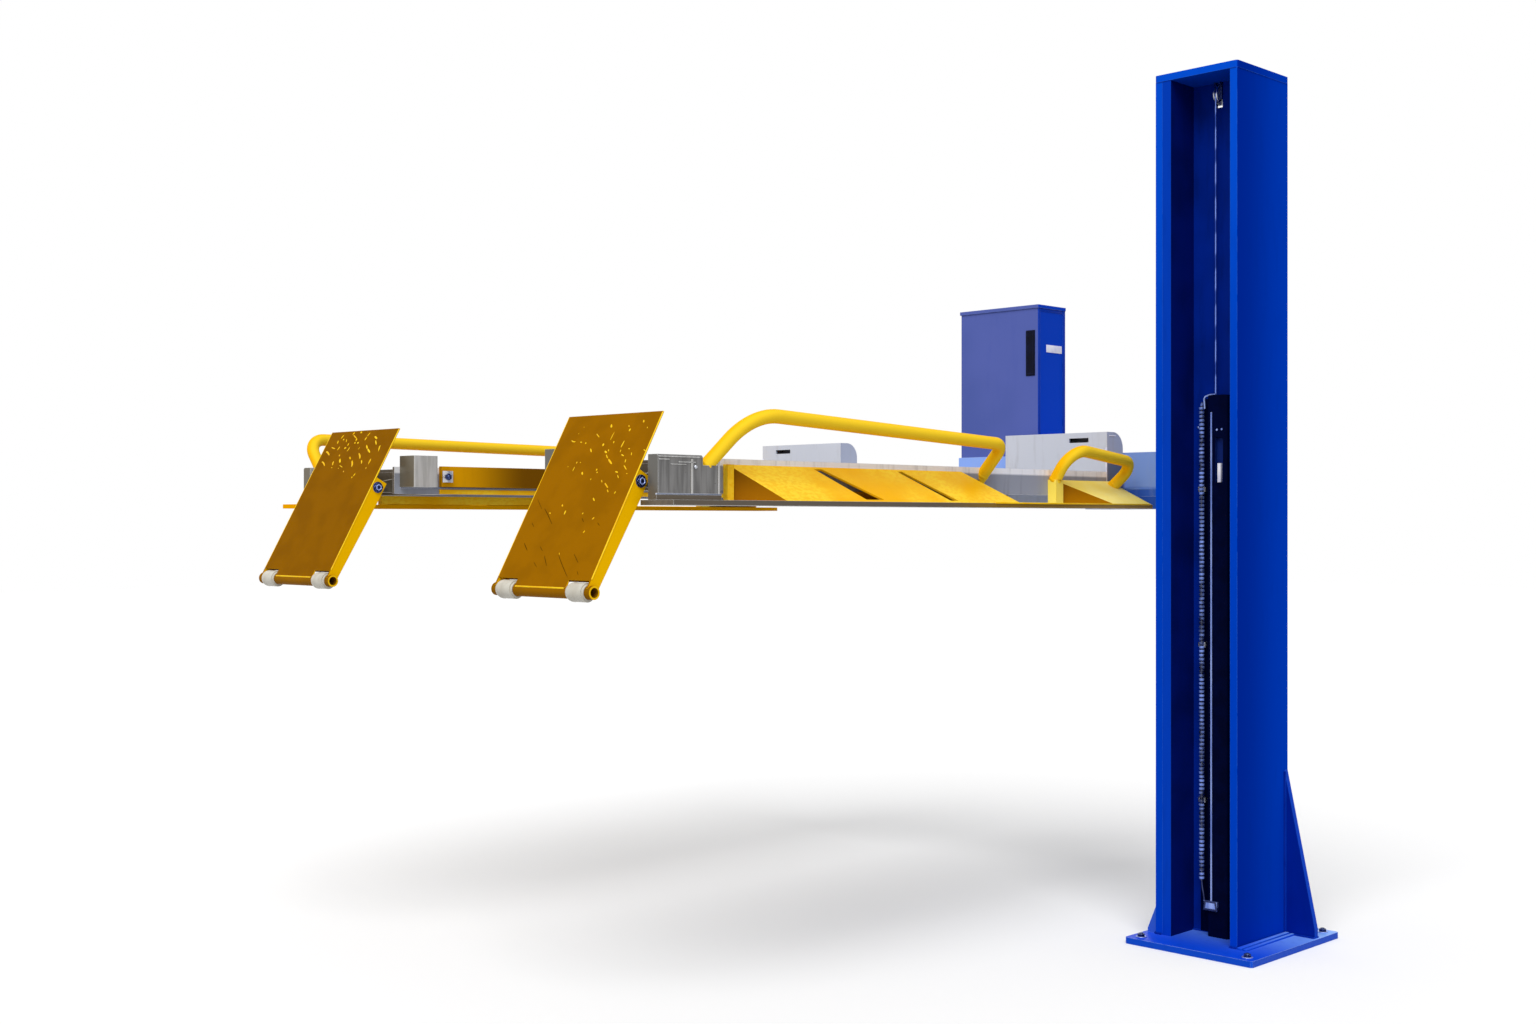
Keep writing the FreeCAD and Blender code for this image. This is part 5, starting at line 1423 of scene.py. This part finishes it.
# The marks of the ramps' treads, as read in enlarged crops of the photo: the width of each mark and then
# its places, in pixels of the crop.
NEAR_HIGH_CROP = Crop(left=560.0, top=410.0, zoom=14.25, pixel_mm=2.66)
NEAR_HIGH_LOZENGES: tuple[Mark, ...] = (
    (28, (730, 200), (733, 225), (738, 250)), (12, (782, 298), (745, 370), (710, 440)),
    (12, (518, 335), (565, 390)), (24, (1190, 138), (1196, 178)), (14, (978, 212), (990, 240)),
    (24, (1004, 258), (985, 304)), (18, (920, 428), (895, 480), (860, 545)),
    (14, (868, 560), (855, 604)), (15, (872, 632), (912, 656)), (14, (970, 550), (1000, 546)),
    (14, (1020, 598), (1015, 645)), (17, (937, 696), (925, 752)), (13, (905, 780), (950, 852)),
    (28, (622, 474), (608, 515)), (16, (692, 556), (690, 590)), (22, (636, 582), (668, 610)),
    (14, (658, 630), (682, 690)), (24, (682, 692), (740, 775)),
    (15, (160, 426), (185, 462), (228, 448)), (14, (288, 452), (314, 462)),
    (20, (370, 456), (360, 486)), (18, (432, 544), (448, 604)), (20, (765, 440), (765, 474)),
    (13, (1192, 556), (1222, 582)), (14, (1246, 532), (1226, 582)), (15, (244, 730), (232, 766)),
    (13, (284, 744), (298, 746)), (12, (215, 800), (175, 880)), (24, (312, 880), (322, 924)),
    (22, (525, 832), (518, 866)), (20, (534, 878), (524, 898)), (16, (446, 972), (432, 996)),
    (17, (782, 874), (828, 892)), (12, (818, 916), (832, 972)), (13, (590, 990), (600, 1034)),
    (17, (636, 1030), (686, 1112)), (13, (668, 1130), (688, 1172)), (17, (798, 1154), (768, 1194)),
    (14, (344, 236), (340, 250)), (13, (268, 330), (266, 344)), (14, (1246, 236), (1246, 258)),
    (12, (116, 794), (112, 812)), (12, (940, 904), (962, 906)),
)

NEAR_LOW_CROP = Crop(left=490.0, top=495.0, zoom=13.64, pixel_mm=2.7)
NEAR_LOW_LOZENGES: tuple[Mark, ...] = (
    (20, (982, 126), (990, 158)), (18, (1036, 206), (1008, 270)), (16, (1405, 35), (1428, 80)),
    (14, (1272, 240), (1254, 262)), (17, (1426, 300), (1390, 334)), (17, (1296, 482), (1266, 516)),
    (14, (812, 236), (828, 254)), (9, (945, 782), (947, 812)),
)
NEAR_CREASES: tuple[Mark, ...] = (
    (8, (725, 150), (800, 270), (860, 440)), (8, (460, 640), (515, 772)), (6, (680, 690), (722, 772)),
    (8, (740, 810), (750, 880), (780, 992)), (8, (928, 785), (960, 910), (1085, 1180)),
    (7, (1138, 780), (1212, 944)), (6, (1188, 1026), (1207, 1100)), (6, (568, 368), (602, 442)),
    (7, (1250, 300), (1282, 378)), (6, (1464, 368), (1497, 424)), (5, (590, 900), (645, 995)),
    (5, (640, 30), (720, 215)),
)

FAR_CROP = Crop(left=310.0, top=420.0, zoom=16.5, pixel_mm=3.2)
FAR_LOZENGES: tuple[Mark, ...] = (
    (18, (565, 235), (535, 285), (505, 308)), (18, (470, 334), (448, 394)),
    (20, (545, 322), (566, 322)), (13, (604, 312), (596, 370)), (20, (646, 376), (616, 428)),
    (20, (742, 198), (700, 248)), (13, (715, 245), (770, 305)), (26, (772, 296), (758, 350)),
    (20, (730, 374), (752, 376)), (24, (798, 360), (784, 392)), (22, (830, 204), (862, 204)),
    (14, (1002, 198), (940, 275)), (22, (940, 272), (900, 338)), (22, (1062, 268), (1110, 308)),
    (17, (1080, 325), (1096, 408)), (17, (1166, 412), (1140, 440), (1128, 524)),
    (19, (930, 404), (946, 480)), (20, (948, 470), (992, 540)),
    (12, (350, 448), (385, 470), (420, 472)), (20, (490, 430), (488, 460), (440, 502)),
    (20, (556, 470), (600, 456)), (15, (648, 440), (650, 480), (598, 520)),
    (20, (256, 520), (298, 524), (322, 590)), (20, (484, 568), (488, 594)),
    (26, (490, 634), (498, 704)), (20, (650, 606), (670, 648)),
    (24, (686, 655), (712, 735), (680, 775)), (21, (796, 536), (838, 590), (818, 645)),
    (18, (846, 655), (858, 690), (846, 720)), (24, (1002, 632), (1000, 660), (950, 738)),
    (17, (185, 684), (236, 690), (240, 770)), (19, (398, 682), (374, 692), (370, 756)),
    (18, (366, 774), (356, 794)), (16, (552, 838), (552, 858)), (19, (750, 874), (712, 926)),
    (17, (694, 928), (684, 958)), (13, (930, 776), (916, 806)), (11, (820, 444), (790, 492)),
    (8, (480, 742), (540, 782)), (12, (466, 790), (470, 800)),
)


@dataclass
class Ramp:
    """One tilting ramp with its rollers."""

    side: Side
    pivot_x: float = -1988.0
    pivot_z: float = 1450.0
    foot_x: float = -2169.2
    foot_z: float = 1168.5
    slope: tuple[float, float] = (0.4849, 0.8746)
    bead_y: tuple[float, float] = (646.0, 854.0)
    roller_y: tuple[tuple[float, float], ...] = ((557.0, 676.0), (824.0, 943.0))
    lip: tuple[float, float, float, float] = (3.0, 20.0, 30.0, 32.5)
    rim_y: tuple[float, float] = (551.0, 949.0)
    rim_up: tuple[float, ...] = (30.0, 280.0, 536.0)
    rim_radius: float = 2.2
    rim_sunk: float = 1.6
    bolt_y: tuple[tuple[float, float], ...] = ((550.0, -1.0), (950.0, 1.0))
    bolt_head: float = 7.0
    cap_profile: Profile = ((17.2, 0), (17.6, 0.6), (17.6, 1.6), (16.8, 2.2))
    ring_profile: Profile = ((11.0, -0.5), (11.0, 1.0), (9.6, 2.4), (8.2, 2.4), (6.6, 0.6))
    dimple_profile: Profile = ((6.4, -0.2), (6.4, 0.7), (5.0, 1.0))
    near_fatness: float = 1.35
    far_fatness: float = 1.7
    lozenge_sunk: float = 0.5
    crease_fatness: float = 1.7
    crease_sunk: float = 0.45

    def on_plate(self, up: float, y: float, proud: float) -> Point:
        """Gives a point of the plate's face.

        Args:
            up: the way up the slope from the plate's lower edge, in millimetres.
            y: the point's Y in millimetres.
            proud: how far it stands off the face.

        Returns:
            The point in millimetres.
        """
        run, rise = self.slope
        return (self.foot_x + run * up - rise * proud, y, self.foot_z + rise * up + run * proud)

    def body(self) -> Body:
        """Gives the body that the ramp's pieces ride on."""
        return Body.NEAR_RAMP if self.side is Side.NEAR else Body.FAR_RAMP

    def seen_at(self, crop: Crop, x: float, y: float) -> tuple[int, int]:
        """Finds the place on the plate that shows at a pixel of a crop.

        Args:
            crop: the crop.
            x: the pixel's distance from the crop's left edge.
            y: its distance from the crop's top.

        Returns:
            The way up the slope and the Y, in whole millimetres.
        """
        run, rise = self.slope
        ahead, aside, above = crop.ray(x, y)
        near_x = self.foot_x * MM - CAMERA_PLACE[0]
        near_z = self.foot_z * MM - CAMERA_PLACE[2]
        depth = (run * near_z - rise * near_x) / (run * above - rise * ahead)
        up = run * (depth * ahead - near_x) + rise * (depth * above - near_z)
        return round(up / MM), round((CAMERA_PLACE[1] + depth * aside) / MM)

    def strokes(
        self, crop: Crop, marks: Sequence[Mark], fatness: float, sunk: float,
    ) -> list[Rod]:
        """Turns marks on the plate to rods.

        Args:
            crop: the crop that the marks were read in.
            marks: each mark's width and places, in the crop's pixels.
            fatness: the rod's radius as a share of the mark's width.
            sunk: how much of its radius the rod's middle lies below the face.

        Returns:
            The rods' radii and points.
        """
        lines = []
        for pixels, *read in marks:
            places = [self.seen_at(crop, x, y) for x, y in read]
            if len(places) == 2:
                (u0, y0), (u1, y1) = places
                places.insert(1, ((u0 + u1) / 2, (y0 + y1) / 2))
            radius = crop.width(pixels) * fatness
            lines.append((radius, [self.on_plate(u, y, -radius * sunk) for u, y in places]))
        return lines

    def lozenges(self) -> list[Rod]:
        """Gives the rods of this side's lozenges, which are drawn fatter on the far plate."""
        sunk = self.lozenge_sunk
        if self.side is Side.FAR:
            return self.strokes(FAR_CROP, FAR_LOZENGES, self.far_fatness, sunk)
        fatness = self.near_fatness
        high = self.strokes(NEAR_HIGH_CROP, NEAR_HIGH_LOZENGES, fatness, sunk)
        return high + self.strokes(NEAR_LOW_CROP, NEAR_LOW_LOZENGES, fatness, sunk)

    def tread(self, paint: Paintwork) -> None:
        """Raises the worn lozenges of the tread and, low on the near plate, its creases, whose dark brown
        is painted shade.
        """
        tag = self.side.value
        piece = rods(f"{tag}_ramp_lozenges", self.lozenges(), 8, 0.5)
        fitted(piece, self.body(), Slot.WORN_YELLOW, paint.stud, 60)
        if self.side is Side.NEAR:
            lines = self.strokes(NEAR_LOW_CROP, NEAR_CREASES, self.crease_fatness, self.crease_sunk)
            piece = rods(f"{tag}_ramp_creases", lines, 8, 0.4)
            fitted(piece, self.body(), Slot.WORN_YELLOW, paint.crease, 60)

    def foot_bead(self, paint: Paintwork) -> None:
        """Lays the bright bead between the plate's lower edge and the tube."""
        low, high = sorted(self.side.y(y) for y in self.bead_y)
        middle = (low + high) / 2
        line = [self.on_plate(1.0, y, 0.6) for y in (low, middle, high)]
        piece = bent(f"{self.side.value}_ramp_bead", line, 2.6, 8)
        fitted(piece, self.body(), Slot.WORN_YELLOW, paint.stud, 60)

    def lips(self, paint: Paintwork) -> None:
        """Bends a lip back from the plate's edge above each roller."""
        parts = []
        x0, x1, z0, z1 = self.lip
        for y0, y1 in self.roller_y:
            span = sorted((self.side.y(y0), self.side.y(y1)))
            lip = block("lip", (x0, span[0], z0), (x1, span[1], z1), 0.6)
            lip.rotation_euler = (0.0, math.asin(self.slope[0]), 0.0)
            lip.location = (self.foot_x * MM, 0.0, self.foot_z * MM)
            parts.append(applied(lip))
        finish = paint.tread if self.side is Side.NEAR else paint.far_tread
        fitted(joined(f"{self.side.value}_roller_lips", parts), self.body(), Slot.WORN_YELLOW, finish)

    def rims(self, paint: Paintwork) -> None:
        """Rounds the plate's side edges with a bright bead of thick paint."""
        lines = []
        for y in self.rim_y:
            place = self.side.y(y)
            line = [self.on_plate(u, place, -self.rim_sunk) for u in self.rim_up]
            lines.append((self.rim_radius, line))
        piece = rods(f"{self.side.value}_ramp_rims", lines, 8, 0.999)
        fitted(piece, self.body(), Slot.WORN_YELLOW, paint.stud, 60)

    def caps(self, paint: Paintwork) -> None:
        """Adds a dark washer face, a ring in pale steel as a painted highlight and a dark recess to each
        pivot bolt's head.
        """
        dark, light = [], []
        for y, sign in self.bolt_y:
            place = self.side.y(y)
            outward = -sign * self.side.out()
            axis = Y_AXIS * outward
            base = (self.pivot_x, place, self.pivot_z)
            tip = (self.pivot_x, place + outward * self.bolt_head, self.pivot_z)
            dark.append(turned("flange", self.cap_profile, base, axis, 28))
            light.append(turned("ring", self.ring_profile, tip, axis, 6))
            dark.append(turned("recess", self.dimple_profile, tip, axis, 20))
        tag = self.side.value
        fitted(joined(f"{tag}_pivot_caps", dark), self.body(), Slot.STEEL, paint.blued, 40)
        fitted(joined(f"{tag}_pivot_rings", light), self.body(), Slot.STEEL, paint.pipe, 25)

    def build(self, paint: Paintwork) -> str:
        """Builds and dresses the ramp."""
        tag = self.side.value
        paint.dress("tread" if self.side is Side.NEAR else "far_tread", f"{tag}_ramp_plate")
        paint.dress("blued", f"{tag}_ramp_bolts")
        paint.dress("tube", f"{tag}_ramp_tube")
        paint.dress("roller", f"{tag}_outer_roller", f"{tag}_inner_roller")
        self.tread(paint)
        self.foot_bead(paint)
        self.lips(paint)
        self.rims(paint)
        self.caps(paint)
        return f"{tag} ramp"


def main() -> None:
    """Builds every sub-assembly in order."""
    logging.basicConfig(level=logging.INFO, format="%(name)s: %(message)s")
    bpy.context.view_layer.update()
    paint = Paintwork(Finishes())
    parts = [
        Studio(), Foot(), ServiceChannel(), Carrier(), Cabinet(),
        Runway(Side.NEAR), Runway(Side.FAR), Ramp(Side.NEAR), Ramp(Side.FAR)]
    for part in parts:
        LOG.info("built %s", part.build(paint))


if __name__ == "__main__":
    main()
